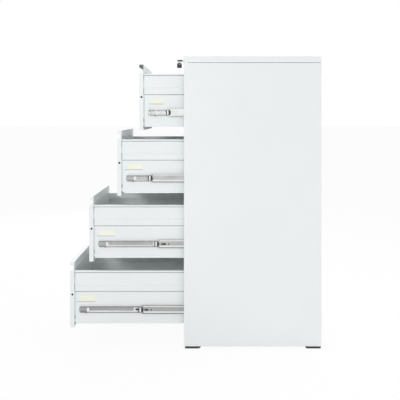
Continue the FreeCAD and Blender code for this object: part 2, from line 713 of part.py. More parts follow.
def slot(name, middle):
    """A tool for a slot with bevelled ends, right through the web of a member."""
    near, far = f"({middle} - web_slot_length / 2)", f"({middle} + web_slot_length / 2)"
    half, flat, bevel = "web_slot_half", "(web_slot_half - web_slot_bevel)", "web_slot_bevel"
    outline = [
        (f"{near} + {bevel}", f"-{half}"), (f"{far} - {bevel}", f"-{half}"), (far, f"-{flat}"), (far, flat),
        (f"{far} - {bevel}", half), (f"{near} + {bevel}", half), (near, flat), (near, f"-{flat}"),
    ]
    return prism(name, SIDE, outline, f"{SIDE_X} - 1", "slide_sheet + 2")


def release_levers(number):
    """A drawer's pair of release levers, each on its rivet, with a thumb pad towards the front."""
    tag = f"lever_{number}"
    body = new_body(tag)
    neck, half_pad = "-lever_reach", "lever_pad_length / 2"
    arm = [(neck, "-lever_neck"), ("0", "-lever_boss"), ("lever_boss / 2", "-lever_boss"),
           ("lever_boss", "-lever_boss / 2"), ("lever_boss", "lever_boss / 2"),
           ("lever_boss / 2", "lever_boss"), ("0", "lever_boss"), (neck, "lever_neck")]
    pad(body, body_sketch(body, f"{tag}_arm", "YZ_Plane", arm), "lever_sheet")
    thumb = rectangle(f"{neck} - {half_pad}", "-lever_pad_height / 2",
                      f"{neck} + {half_pad}", "lever_pad_height / 2")
    pad(body, body_sketch(body, f"{tag}_thumb", "YZ_Plane", thumb), "lever_sheet + lever_pad_out")
    hole = body_circle(body, f"{tag}_hole", "YZ_Plane", ("0", "0"), "pivot_radius + pivot_clearance")
    pocket(body, hole, "lever_sheet + 1", reverse=True)
    place(body, x=f"{SIDE_X} + slide_sheet + lever_gap")
    pivot_y = f"{FRONT_Y} + slide_setback - drawer_{number}_open + lever_setback"
    pair(f"drawer_{number}_release_levers", body, pivot_y, f"{lip_z(number)} - slide_drop")


# Drawers, built about the middle of the lip's front edge

def drawer_node(thing, label, number):
    """Puts a finished drawer piece where the drawer stands."""
    return node(place(thing, y=f"{FRONT_Y} - drawer_{number}_open", z=lip_z(number)), label)


def lip_end():
    """Outline of the pull's lip, seen from the side."""
    return [("0", "-lip_face"), (GROOVE_DEPTH, "-lip_drop"), (GROOVE_DEPTH, "-lip_drop - pull_land"),
            ("front_depth", "-lip_drop - pull_land"), ("front_depth", "0"), ("0", "0")]


def drawer_front(number):
    """Folded front: lip, full-width pull, face and lower edge in one sheet, with closed ends."""
    tag = f"drawer_{number}"
    foot = "-front_height"
    outline = [
        ("front_depth", "-lip_band"), ("front_depth", "0"), ("0", "0"), ("0", "-lip_face"),
        (GROOVE_DEPTH, "-lip_drop"), (GROOVE_DEPTH, "-lip_drop - pull_land"), ("0", "-pull_foot"),
        ("0", f"{foot} + front_chamfer"), ("front_chamfer", foot), ("front_depth", foot),
        ("front_depth", f"{foot} + front_return"),
    ]
    skin = folded(f"{tag}_skin", SIDE, outline, "front_sheet", 1, f"-{FRONT_HALF}", f"2 * {FRONT_HALF}")
    end = [
        ("0", "-pull_foot"), ("0", f"{foot} + front_chamfer"), ("front_chamfer", foot),
        ("front_depth", foot), ("front_depth", "-lip_drop - pull_land"),
        (GROOVE_DEPTH, "-lip_drop - pull_land"),
    ]
    right = prism(f"{tag}_right_end", SIDE, end, f"{FRONT_HALF} - front_sheet", "front_sheet")
    left = prism(f"{tag}_left_end", SIDE, end, f"-{FRONT_HALF}", "front_sheet")
    seats = [
        block(f"{tag}_{side}_seat", (start, "-1", "-lip_drop - pull_land"), (end_x, "front_depth + 1", "1"))
        for side, start, end_x in (("right", f"{FRONT_HALF} - cap_thickness", f"{FRONT_HALF} + 1"),
                                   ("left", f"-{FRONT_HALF} - 1", f"-{FRONT_HALF} + cap_thickness"))
    ]
    bolt_hole = rod(f"{tag}_bolt_hole", "X", "bolt_radius + bolt_play",
                    (f"{FRONT_HALF} - front_sheet - 1", "bolt_setback", "-bolt_drop"), "front_sheet + 2")
    drawer_node(cut(f"{tag}_front", fuse(f"{tag}_shell", [skin, left, right]), [*seats, bolt_hole]),
                f"{tag}_front", number)


def handle_caps(number):
    """End caps of the pull: an outer plate and a plug that fills the lip."""
    tag = f"drawer_{number}"
    plate = prism(f"{tag}_cap_plate", SIDE, lip_end(), f"{FRONT_HALF} - cap_thickness", "cap_thickness")
    inset = "(front_sheet + cap_play)"
    deep = f"({GROOVE_DEPTH} - 2 * {inset})"
    plug = [(inset, f"-lip_face + {inset} / 2"), (deep, f"-lip_drop + 2.5 * {inset}"),
            (deep, f"-{inset}"), (inset, f"-{inset}")]
    stem = prism(f"{tag}_cap_stem", SIDE, plug, f"{FRONT_HALF} - cap_thickness - cap_plug_length",
                 "cap_plug_length")
    right = fuse(f"{tag}_cap", [plate, stem])
    held = group(f"{tag}_caps", [right, mirrored(f"{tag}_cap_copy", right)])
    drawer_node(held, f"{tag}_handle_caps", number)


def inner_pan(number):
    """Pan that closes the back of the front and takes the sides' fixings."""
    tag = f"drawer_{number}_pan"
    gap, back = "panel_play", "front_depth"
    top, low = "(-lip_band - panel_play)", "(-floor_drop + side_sheet + panel_play)"
    outline = [(back, top), (back, low), (f"{back} - pan_fold", low)]
    half = f"({FRONT_HALF} - front_sheet - {gap})"
    drawer_node(folded(tag, SIDE, outline, "side_sheet", -1, f"-{half}", f"2 * {half}"),
                f"drawer_{number}_inner_pan", number)


def drawer_side(number):
    """Right-hand drawer side: hanging rail, bead, step and floor flange in one sheet."""
    tag = f"drawer_{number}_side"
    nose_x = f"({UPPER_X} + hem_out)"
    hem_x, top = f"({nose_x} - hem_width)", "(-side_top_drop)"
    bead_x, half_bead, half_top = f"({UPPER_X} + bead_out)", "bead_height / 2", "bead_top / 2"
    outline = [
        (hem_x, f"{top} - hem_leg"), (hem_x, top), (nose_x, top), (nose_x, f"{top} - hem_nose"),
        (UPPER_X, f"{top} - hem_nose"), (UPPER_X, f"-bead_drop + {half_bead}"),
        (bead_x, f"-bead_drop + {half_top}"), (bead_x, f"-bead_drop - {half_top}"),
        (UPPER_X, f"-bead_drop - {half_bead}"), (UPPER_X, "-step_drop"),
        (SIDE_X, "-step_drop - step_slope"), (SIDE_X, "-floor_drop"),
        (f"{SIDE_X} - floor_flange", "-floor_drop"),
    ]
    sheet = folded(tag, FRONT, outline, "side_sheet", -1, "front_depth", f"{DRAWER_LENGTH} - front_depth")
    notches = [
        block(f"{tag}_notch_{i}", (f"{SIDE_X} - 3", "front_depth - 1", f"-{low}"),
              (f"{nose_x} + 1", "front_depth + notch_depth", f"-{high}"))
        for i, (high, low) in enumerate(SIDE_NOTCHES)
    ]
    return cut(f"{tag}_notched", sheet, notches)


def drawer_sides(number):
    """Both sides of a drawer."""
    right = drawer_side(number)
    left = mirrored(f"drawer_{number}_side_copy", right)
    outer = group(f"drawer_{number}_right", [right])
    drawer_node(outer, f"drawer_{number}_side_right", number)
    drawer_node(left, f"drawer_{number}_side_left", number)


def drawer_tray(number):
    """Drawer floor with three stiffening beads, lying on the sides' flanges."""
    half, level = f"({INNER_X} - tray_play)", FLOOR_TOP
    outline = [(half, level)]
    for row in (1, 0, -1):
        for across, rise in ((0.5, 0), (0.3, 1), (-0.3, 1), (-0.5, 0)):
            outline.append((f"{row} * tray_bead_pitch + ({across}) * tray_bead_width",
                            f"{level} + {rise} * tray_bead_height"))
    outline.append((f"-{half}", level))
    sheet = folded(f"drawer_{number}_floor", FRONT, outline, "side_sheet", -1, "front_depth",
                   f"{DRAWER_LENGTH} - front_depth - side_sheet - tray_play")
    drawer_node(sheet, f"drawer_{number}_tray", number)


def drawer_back(number):
    """Drawer back, folded forwards over the floor and along its upper edge."""
    foot = f"({FLOOR_TOP} + side_sheet + tray_bead_height + tray_play)"
    plane, fold_y = DRAWER_LENGTH, f"({DRAWER_LENGTH} - back_hem)"
    outline = [(fold_y, foot), (plane, foot), (plane, "-back_top_drop"), (fold_y, "-back_top_drop"),
               (fold_y, "-back_top_drop - back_hem")]
    half = f"({INNER_X} - tray_play)"
    drawer_node(folded(f"drawer_{number}_rear", SIDE, outline, "side_sheet", 1, f"-{half}", f"2 * {half}"),
                f"drawer_{number}_back", number)


# Lock and keys, built along the lock's axis with +Z out of the cabinet

def lock_place(body):
    """Turns a piece of the lock to face the front."""
    body.Placement = Placement(Vector(), FRONT.turn)
    return place(body, LOCK_X, FRONT_Y, LOCK_Z)


def lock_barrel():
    """Lock housing with its rim."""
    body = new_body("lock_barrel")
    bore = "plug_radius + plug_clearance"
    outline = [
        (bore, "-barrel_length"), ("barrel_radius", "-barrel_length"), ("barrel_radius", "0"),
        ("rim_radius", "0"), ("rim_radius", "rim_height"), (bore, "rim_height"),
    ]
    revolve(body, body_sketch(body, "barrel_half", "XZ_Plane", outline))
    node(lock_place(body), "lock_barrel")


def lock_plug():
    """Turning plug with its keyway."""
    body = new_body("lock_plug")
    top = "(rim_height + plug_proud)"
    outline = [("0", "-plug_tail"), ("plug_radius", "-plug_tail"), ("plug_radius", top), ("0", top)]
    revolve(body, body_sketch(body, "plug_half", "XZ_Plane", outline))
    wide, thin = "(key_blade_width / 2 + keyway_play)", "(key_blade_sheet / 2 + keyway_play)"
    way = body_sketch(body, "keyway", "XY_Plane", rectangle(f"-{wide}", f"-{thin}", wide, thin), lift=top)
    pocket(body, way, f"{top} + key_in_plug + keyway_play")
    node(lock_place(body), "lock_plug")


def lock_cam():
    """Cam plate on the tail of the plug, with the pin that drives the lock bar."""
    body = new_body("lock_cam")
    flat = "cam_radius / 2"
    plate = [("-cam_radius", f"-{flat}"), (f"-{flat}", "-cam_radius"), (flat, "-cam_radius"),
             ("cam_radius", f"-{flat}"), ("cam_radius", flat), (flat, "cam_radius"),
             (f"-{flat}", "cam_radius"), ("-cam_radius", flat)]
    pad(body, body_sketch(body, "cam_plate", "XY_Plane", plate, "-plug_tail - cam_sheet"), "cam_sheet")
    pin = body_circle(body, "cam_pin", "XY_Plane", (PIN_THROW, f"-{PIN_THROW}"), "cam_pin_radius",
                      "-plug_tail - cam_sheet")
    pad(body, pin, "cam_pin_length", reverse=True)
    node(lock_place(body), "lock_cam")


def key_shape(name, tip, foot):
    """A flat key: blade from its tip to its foot, then the head with its shoulders and hole."""
    body = new_body(name)
    head_foot, end = f"({foot})", f"({foot} + key_head_length)"
    blade_half, head_half = "key_blade_width / 2", "key_head_width / 2"
    blade = [
        ("0", tip), (f"{blade_half}", f"{tip} + {blade_half}"), (f"{blade_half}", f"{head_foot} + 1"),
        (f"-{blade_half}", f"{head_foot} + 1"), (f"-{blade_half}", f"{tip} + {blade_half}"),
    ]
    pad(body, body_sketch(body, f"{name}_blade", "XZ_Plane", blade), "key_blade_sheet", middle=True)
    head = [
        (f"-{head_half} + key_shoulder", head_foot), (f"{head_half} - key_shoulder", head_foot),
        (head_half, f"{head_foot} + key_shoulder"), (head_half, f"{end} - key_shoulder / 2"),
        (f"{head_half} - key_shoulder / 2", end), (f"-{head_half} + key_shoulder / 2", end),
        (f"-{head_half}", f"{end} - key_shoulder / 2"), (f"-{head_half}", f"{head_foot} + key_shoulder"),
    ]
    grip = pad(body, body_sketch(body, f"{name}_head", "XZ_Plane", head), "key_head_sheet", middle=True)
    face = value("key_head_sheet / 2")
    rim = edges_where(grip.Shape, lambda p: at(abs(p.y), face))
    soften(body, "Chamfer", grip, rim, "Size", "key_edge")
    hole = body_circle(body, f"{name}_hole", "XZ_Plane", ("0", f"{end} - key_hole_inset"), "key_hole_radius")
    pocket(body, hole, "key_head_sheet + 1", middle=True)
    return body


def keys():
    """The key in the lock, the ring through its head and the spare key that hangs on the ring."""
    node(lock_place(key_shape("key", "-key_in_plug", HEAD_FOOT)), "key")
    ring = new_body("key_ring")
    wire = rectangle("ring_radius - ring_wire", "-ring_wire", "ring_radius + ring_wire", "ring_wire")
    revolve(ring, body_sketch(ring, "ring_section", "XZ_Plane", wire))
    ring.Placement = Placement(Vector(), FRONT.turn)
    hole_y = f"({FRONT_Y} - {HEAD_END} + key_hole_inset)"
    ring_x, ring_z = f"({LOCK_X} + {RING_OUT})", f"({LOCK_Z} - {RING_DROP})"
    node(place(ring, ring_x, hole_y, ring_z), "key_ring")
    spare = key_shape("spare_key", "0", "key_in_plug + key_shank")
    spare.Placement = Placement(Vector(), Rotation(Vector(0, 0, 1), 90))
    hang = f"({ring_z} - ring_radius + ring_wire + hang_gap - key_hole_radius)"
    drop = f"({hang} - (key_in_plug + key_shank + key_head_length - key_hole_inset))"
    node(place(spare, ring_x, hole_y, drop), "spare_key")


def lock_bar():
    """Upright strip in the post beside the lock, its bolts, and the bracket that the cam drives."""
    near = f"({POST_X} + shell_sheet + bar_leg_gap + bar_stroke)"
    far, outside = f"({near} + bar_sheet)", f"({near} + 2 * bar_sheet)"
    front, rear = f"({FRONT_Y} + bar_front_gap)", f"({FRONT_Y} + bar_front_gap + bar_width)"
    plate_y = f"({FRONT_Y} + plug_tail + cam_sheet + tongue_gap)"
    back = f"({plate_y} + bar_sheet)"
    pin_x, middle = f"({LOCK_X} + {PIN_THROW})", f"({LOCK_Z} - {PIN_THROW})"
    low, high = f"({middle} - tongue_height / 2)", f"({middle} + tongue_height / 2)"
    foot = f"({lip_z(DRAWERS[-1])} - bolt_drop - bar_foot)"
    strip = block("bar_strip", (near, front, foot), (far, rear, high))
    leg = block("bar_leg", (far, f"{front} + bar_sheet", low), (outside, back, high))
    tongue = block("bar_tongue", (f"{pin_x} - tongue_end", plate_y, low), (outside, back, high))
    half = "(cam_pin_radius + slot_play)"
    slot_foot = f"{LOCK_Z} - {PIN_THROW} * sqrt(2) - {half}"
    pin_slot = block("bar_slot", (f"{pin_x} - {half}", f"{plate_y} - 1", slot_foot),
                     (f"{pin_x} + {half}", f"{back} + 1", f"{middle} + {half}"))
    bracket = cut("bar_bracket", fuse("bar_angle", [leg, tongue]), [pin_slot])
    bolts = []
    for n in DRAWERS:
        centre = (f"{near} - bar_stroke", f"{FRONT_Y} + bolt_setback", f"{lip_z(n)} - bolt_drop")
        bolts.append(rod(f"bolt_{n}", "X", "bolt_radius", centre, "bar_stroke"))
    node(group("lock_bar", [strip, bracket, *bolts]), "lock_bar")


def build():
    """Builds every sub-part."""
    fill_sheet()
    side_panels()
    top_cover()
    back_panel()
    bottom_pan()
    feet()
    plinth()
    top_rail()
    slide_posts()
    outer_members()
    lock_barrel()
    lock_plug()
    lock_cam()
    keys()
    lock_bar()
    for number in DRAWERS:
        drawer_front(number)
        handle_caps(number)
        inner_pan(number)
        drawer_sides(number)
        drawer_tray(number)
        drawer_back(number)
        inner_members(number)
        release_levers(number)
        middle_members(number)
    doc.recompute()


def check():
    """Stops if any object failed or any sub-part has no sound shape."""
    for thing in doc.Objects:
        if {"Invalid", "Error"} & set(thing.State):
            raise RuntimeError(f"{thing.Name} failed: {thing.State}")
    for thing in nodes:
        shape = thing.Shape
        if shape.isNull() or not shape.isValid() or not shape.Solids:
            raise RuntimeError(f"{thing.Label} has no sound shape")


def export():
    """Writes each sub-part to its own file."""
    os.makedirs("parts", exist_ok=True)
    for thing in nodes:
        thing.Shape.exportStep(f"parts/{thing.Label}.step")


build()
check()
export()
print(f"{len(nodes)} sub-parts written")
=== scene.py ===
import logging
import math
from abc import ABC, abstractmethod
from collections.abc import Iterable, Sequence
from dataclasses import dataclass, field
from enum import Enum
from typing import Any

import bmesh
import bpy
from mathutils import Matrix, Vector
from mathutils.geometry import tessellate_polygon

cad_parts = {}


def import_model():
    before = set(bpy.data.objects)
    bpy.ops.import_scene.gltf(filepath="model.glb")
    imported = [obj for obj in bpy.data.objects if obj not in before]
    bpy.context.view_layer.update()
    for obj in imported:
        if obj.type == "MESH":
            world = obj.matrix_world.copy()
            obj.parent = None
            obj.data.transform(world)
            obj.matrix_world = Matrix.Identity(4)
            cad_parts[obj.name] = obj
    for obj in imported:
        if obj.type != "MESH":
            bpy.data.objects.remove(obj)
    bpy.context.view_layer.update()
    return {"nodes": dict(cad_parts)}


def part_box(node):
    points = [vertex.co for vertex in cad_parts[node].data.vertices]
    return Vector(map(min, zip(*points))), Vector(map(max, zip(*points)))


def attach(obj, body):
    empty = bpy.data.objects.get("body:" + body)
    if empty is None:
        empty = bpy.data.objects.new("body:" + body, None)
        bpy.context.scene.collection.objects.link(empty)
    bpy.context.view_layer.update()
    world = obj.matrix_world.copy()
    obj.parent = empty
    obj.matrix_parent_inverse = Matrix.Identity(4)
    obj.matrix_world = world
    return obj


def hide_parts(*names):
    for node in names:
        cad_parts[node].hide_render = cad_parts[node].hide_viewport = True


log = logging.getLogger("cabinet")

Point = tuple[float, float]
Colour = tuple[float, float, float]

MM = 0.001
LEVELS = (1, 2, 3, 4)
NO_STRETCH: Colour = (1.0, 1.0, 1.0)


class Slot(Enum):
    """Names of material slots, by what they finish, which the rows carry."""

    CASING = "casing_white"
    DRAWER = "drawer_white"
    SLIDE = "slide_zinc"
    LEVER = "lever_black"
    CAP_WHITE = "cap_white"
    KEY = "key_black"
    RING = "ring_steel"


class Plane(Enum):
    """The plane in which an outline is drawn: the axes of its two numbers and of its thickness."""

    SIDE = ((0, 1, 0), (0, 0, 1), (1, 0, 0))
    FRONT = ((1, 0, 0), (0, 0, 1), (0, -1, 0))
    BACK = ((1, 0, 0), (0, 0, 1), (0, 1, 0))
    TOP = ((1, 0, 0), (0, 1, 0), (0, 0, 1))

    def at(self, first: float, second: float, depth: float) -> Vector:
        """The point in the row frame for two numbers in the plane and one across it."""
        steps = [Vector(axis) * value for axis, value in zip(self.value, (first, second, depth))]
        return sum(steps, Vector())


# ---- shader toolkit


class Number:
    """A shader socket that carries one number, and takes arithmetic."""

    def __init__(self, board: "Board", socket: bpy.types.NodeSocket) -> None:
        """Keep the socket and the board on which its further nodes stand."""
        self.board = board
        self.socket = socket

    def _join(self, operation: str, first: Any, second: Any) -> "Number":
        """The result of one Math node on two values or links."""
        node = self.board.add("ShaderNodeMath", {"operation": operation}, {0: first, 1: second})
        return Number(self.board, node.outputs[0])

    def __add__(self, other: Any) -> "Number":
        """self + other."""
        return self._join("ADD", self, other)

    def __radd__(self, other: Any) -> "Number":
        """other + self."""
        return self._join("ADD", other, self)

    def __sub__(self, other: Any) -> "Number":
        """self - other."""
        return self._join("SUBTRACT", self, other)

    def __rsub__(self, other: Any) -> "Number":
        """other - self."""
        return self._join("SUBTRACT", other, self)

    def __mul__(self, other: Any) -> "Number":
        """self * other."""
        return self._join("MULTIPLY", self, other)

    def __rmul__(self, other: Any) -> "Number":
        """other * self."""
        return self._join("MULTIPLY", other, self)

    def __pow__(self, other: Any) -> "Number":
        """self ** other."""
        return self._join("POWER", self, other)

    def __mod__(self, other: Any) -> "Number":
        """What is left of self after whole steps of other, from 0 up."""
        return self._join("FLOORED_MODULO", self, other)

    def __abs__(self) -> "Number":
        """The size of self without its sign."""
        return self._join("ABSOLUTE", self, 0.0)

    def higher(self, other: Any) -> "Number":
        """The larger of self and other."""
        return self._join("MAXIMUM", self, other)

    def span(self, low: float, high: float) -> "Number":
        """How far self is from low to high, eased at both ends.

        Args:
            low: the value that gives 0.
            high: the value that gives 1.

        Returns:
            A number from 0 to 1.
        """
        sockets = {"Value": self, "From Min": low, "From Max": high}
        node = self.board.add("ShaderNodeMapRange", {"interpolation_type": "SMOOTHSTEP"}, sockets)
        return Number(self.board, node.outputs[0])


class Board:
    """The node tree of one material or of the world."""

    def __init__(self, tree: bpy.types.NodeTree) -> None:
        """Clear the tree, so that every node on it is this script's."""
        self.tree = tree
        tree.nodes.clear()

    def add(
        self,
        kind: str,
        settings: dict[str, Any] | None = None,
        sockets: dict[str | int, Any] | None = None,
    ) -> bpy.types.Node:
        """Stand one node on the board.

        Args:
            kind: the node's type.
            settings: the node's own settings, set first.
            sockets: the value, or the link, of each socket by name or number.

        Returns:
            The node.
        """
        node = self.tree.nodes.new(kind)
        for key, value in (settings or {}).items():
            setattr(node, key, value)
        for key, value in (sockets or {}).items():
            self._feed(node.inputs[key], value)
        return node

    def _feed(self, socket: bpy.types.NodeSocket, value: Any) -> None:
        """Link a socket, or set it.

        Args:
            socket: the socket to feed.
            value: a Number, another node's output, a colour, a vector or a plain number.
        """
        if isinstance(value, Number):
            value = value.socket
        if isinstance(value, bpy.types.NodeSocket):
            self.tree.links.new(value, socket)
        elif socket.type == "RGBA":
            socket.default_value = (*value, 1.0)
        else:
            socket.default_value = value

    def place(self, stretch: Colour = NO_STRETCH) -> bpy.types.NodeSocket:
        """The point on the object, in the row frame, moving with its body.

        Args:
            stretch: what each coordinate is multiplied by.

        Returns:
            The vector to feed a texture with.
        """
        point = self.add("ShaderNodeTexCoord").outputs["Object"]
        if stretch == NO_STRETCH:
            return point
        return self.add("ShaderNodeVectorMath", {"operation": "MULTIPLY"}, {0: point, 1: stretch}).outputs[0]

    def along(self, axis: int) -> Number:
        """The coordinate along one axis: 0 for X, 1 for Y, 2 for Z."""
        return Number(self, self.add("ShaderNodeSeparateXYZ", {}, {0: self.place()}).outputs[axis])

    def noise(self, scale: float, detail: float = 2.0, stretch: Colour = NO_STRETCH) -> Number:
        """Soft noise about 0.5, with so many waves in a metre and so many finer layers."""
        sockets = {"Vector": self.place(stretch), "Scale": scale, "Detail": detail}
        return Number(self, self.add("ShaderNodeTexNoise", {}, sockets).outputs[0])

    def cells(self, scale: float) -> Number:
        """The distance to the middle of the nearest cell, with so many cells in a metre."""
        node = self.add("ShaderNodeTexVoronoi", {}, {"Vector": self.place(), "Scale": scale})
        return Number(self, node.outputs["Distance"])

    def rounded(self, radius: float) -> bpy.types.NodeSocket:
        """The normal of the surface with its edges rounded to a radius in metres."""
        return self.add("ShaderNodeBevel", {"samples": 4}, {"Radius": radius}).outputs[0]

    def edge(self, radius: float) -> Number:
        """How near a point is to an outer or inner edge.

        Args:
            radius: how wide the edge counts, in metres.

        Returns:
            0 on the flat, and more towards an edge.
        """
        flat = self.add("ShaderNodeNewGeometry").outputs["Normal"]
        sockets = {0: self.rounded(radius), 1: flat}
        turned_away = self.add("ShaderNodeVectorMath", {"operation": "DOT_PRODUCT"}, sockets)
        return 1.0 - Number(self, turned_away.outputs["Value"])

    def hollow(self, reach: float) -> Number:
        """How enclosed a point is by neighbours within a reach in metres: 0 in the open, 1 in a corner."""
        node = self.add("ShaderNodeAmbientOcclusion", {"samples": 4}, {"Distance": reach})
        return 1.0 - Number(self, node.outputs["AO"])

    def mix(self, factor: Any, first: Any, second: Any) -> bpy.types.NodeSocket:
        """The first colour blended into the second by a factor from 0 to 1."""
        node = self.add("ShaderNodeMix", {"data_type": "RGBA"}, {0: factor, 6: first, 7: second})
        return node.outputs[2]

    def bump(self, height: Number, depth: float, normal: Any = None) -> bpy.types.NodeSocket:
        """A surface raised by a height.

        Args:
            height: the height, from 0 to 1.
            depth: how far 1 stands up, in metres.
            normal: the normal to start from, or None for the surface's own.

        Returns:
            The normal to feed the shader with.
        """
        sockets = {"Height": height, "Distance": depth, "Strength": 1.0}
        if normal is not None:
            sockets["Normal"] = normal
        return self.add("ShaderNodeBump", {}, sockets).outputs[0]

    def surface(self, **values: Any) -> None:
        """Finish the material with one shader.

        Args:
            values: the shader's sockets, named with _ for a space.
        """
        named = {key.replace("_", " "): value for key, value in values.items()}
        shader = self.add("ShaderNodeBsdfPrincipled", {}, named)
        self.add("ShaderNodeOutputMaterial", {}, {"Surface": shader.outputs[0]})


def seen_by_lens(board: Board) -> Number:
    """1 for what the lens, a reflection or a clear material shows, and 0 for plain light.

    Args:
        board: the board to stand the nodes on.

    Returns:
        The mask.
    """
    path = board.add("ShaderNodeLightPath").outputs
    rays = [Number(board, path[name]) for name in ("Is Camera Ray", "Is Glossy Ray", "Is Transmission Ray")]
    return rays[0].higher(rays[1]).higher(rays[2])


# ---- finishes


@dataclass(frozen=True)
class Finish(ABC):
    """What every finish has: a name and its main colour, in linear light. Its lengths are in metres."""

    name: str
    colour: Colour

    def make(self) -> bpy.types.Material:
        """Make the finish.

        Returns:
            The material.
        """
        material = bpy.data.materials.new(self.name)
        material.use_nodes = True
        self.lay(Board(material.node_tree))
        return material

    @abstractmethod
    def lay(self, board: Board) -> None:
        """Stand the finish's nodes on a board."""


@dataclass(frozen=True)
class PowderCoat(Finish):
    """Powder coat on folded steel: orange peel, a slow drift of tone, rubbed edges, painted shade in its
    corners, and painted light in its enclosed insides when a shade colour is given.
    """

    drift: Colour = (0.80, 0.83, 0.84)
    rubbed: Colour = (0.66, 0.68, 0.69)
    # painted shade: the colour that corners and creases are darkened towards
    dust: Colour = (0.52, 0.54, 0.54)
    roughness: float = 0.43
    cloud_scale: float = 2.2
    speck_scale: float = 140.0
    peel_scale: float = 480.0
    peel_depth: float = 0.00006
    rub_scale: float = 55.0
    fold_radius: float = 0.0009
    corner_reach: float = 0.030
    corner_share: float = 1.0
    # painted light: a paler colour for enclosed insides, standing in for light bounced round them
    shade: Colour | None = None
    shade_reach: float = 0.24
    shade_share: float = 0.8
    weld_row: float | None = None
    weld_pitch: float = 0.112
    weld_edge: Point = (0.0012, 0.0042)
    weld_depth: float = 0.00022
    storey: float = 0.299

    def _welds(self, board: Board) -> Number:
        """How far a point is from the spot welds that stand in one row in each storey.

        Args:
            board: the board to stand the nodes on.

        Returns:
            The distance in metres.
        """
        along = abs((board.along(1) % self.weld_pitch) - self.weld_pitch / 2)
        up = (board.along(2) % self.storey) - self.weld_row
        return ((along**2.0) + (up**2.0)) ** 0.5

    def lay(self, board: Board) -> None:
        """Stand the coat's nodes on a board.

        Args:
            board: the board to stand the nodes on.
        """
        cloud = board.noise(self.cloud_scale, 3.0)
        speck = board.noise(self.speck_scale)
        edge = board.edge(self.fold_radius)
        rub = (edge * (0.4 + board.noise(self.rub_scale, 3.0))).span(0.10, 0.42) * 0.35
        # painted shade: darker in corners and creases, where shade falls
        corner = board.hollow(self.corner_reach).span(0.35, 1.0) * (0.25 + 0.35 * board.noise(18.0, 3.0))
        tone = board.mix((cloud * 0.8 + speck * 0.2).span(0.40, 0.66), self.colour, self.drift)
        # painted light: enclosed insides take the paler shade colour, for light bounced round them
        if self.shade is not None:
            enclosed = board.hollow(self.shade_reach).span(0.42, 0.88)
            tone = board.mix(enclosed * self.shade_share, tone, self.shade)
        tone = board.mix(corner * self.corner_share, tone, self.dust)
        height = board.noise(self.peel_scale, 1.0) * 0.8 + speck * 0.2
        normal = board.bump(height, self.peel_depth, board.rounded(self.fold_radius))
        if self.weld_row is not None:
            normal = board.bump(self._welds(board).span(*self.weld_edge), self.weld_depth, normal)
        board.surface(
            Base_Color=board.mix(rub, tone, self.rubbed),
            Roughness=self.roughness + (cloud - 0.5) * 0.16 + (speck - 0.5) * 0.10 + rub * 0.3,
            Normal=normal,
            Coat_Roughness=0.3,
        )


@dataclass(frozen=True)
class ZincPlate(Finish):
    """Bright zinc on rolled steel: long drawing marks, faint spangle, painted shade that darkens it lower
    down and in its hollows, and painted highlights on its edges.
    """

    dull: Colour = (0.37, 0.378, 0.37)
    grime: Colour = (0.16, 0.16, 0.155)
    bare: Colour = (0.80, 0.81, 0.82)
    # painted shade: how far the zinc is darkened lower down, and the heights between which it fades in
    wear: float = 0.62
    clean_above: Point = (0.86, 1.04)
    dusty_below: Point = (0.24, 0.40)
    roughness: float = 0.36
    metallic: float = 0.75
    grain: Colour = (900.0, 9.0, 900.0)
    spangle_scale: float = 190.0

    def lay(self, board: Board) -> None:
        """Stand the plate's nodes on a board.

        Args:
            board: the board to stand the nodes on.
        """
        streak = board.noise(1.0, 3.0, self.grain)
        spangle = board.cells(self.spangle_scale)
        cloud = board.noise(14.0, 3.0)
        edge = board.edge(0.0006).span(0.08, 0.5)
        height = board.along(2)
        # painted shade: darker below the top slides and again at the lowest slide, for the dimmer reflection
        # that lower slides show
        lower_shade = 1.0 - height.span(*self.clean_above) + (1.0 - height.span(*self.dusty_below)) * 0.5
        tone = board.mix((streak * 0.5 + cloud * 0.5).span(0.35, 0.70), self.colour, self.dull)
        tone = board.mix(lower_shade * self.wear, tone, self.dull)
        # painted shade: darker in hollows, where shade falls
        tone = board.mix(board.hollow(0.010).span(0.4, 1.0) * 0.45, tone, self.grime)
        board.surface(
            # painted highlight: lighter at the edges
            Base_Color=board.mix(edge * 0.5, tone, self.bare),
            Metallic=self.metallic,
            Roughness=self.roughness + (streak - 0.5) * 0.25 + (spangle - 0.4) * 0.12 - edge * 0.08,
            Normal=board.bump(streak * 0.7 + spangle * 0.3, 0.00004, board.rounded(0.0005)),
        )


@dataclass(frozen=True)
class BrightPlate(Finish):
    """Polished nickel with hair scratches, a duller bloom in its corners, and painted highlights on its
    edges.
    """

    bloomed: Colour = (0.58, 0.57, 0.55)
    worn: Colour = (0.86, 0.86, 0.85)
    scratches: Colour = (5200.0, 700.0, 240.0)
    roughness: float = 0.16

    def lay(self, board: Board) -> None:
        """Stand the plate's nodes on a board.

        Args:
            board: the board to stand the nodes on.
        """
        scratch = board.noise(1.0, 4.0, self.scratches)
        bloom = board.noise(90.0, 3.0)
        edge = board.edge(0.0004).span(0.05, 0.5)
        tone = board.mix(bloom.span(0.4, 0.75), self.colour, self.bloomed)
        board.surface(
            # painted highlight: lighter at the edges
            Base_Color=board.mix(edge * 0.4, tone, self.worn),
            Metallic=1.0,
            Roughness=self.roughness + bloom * 0.10 + (scratch - 0.5) * 0.14,
            Normal=board.bump(scratch, 0.000012, board.rounded(0.0003)),
        )


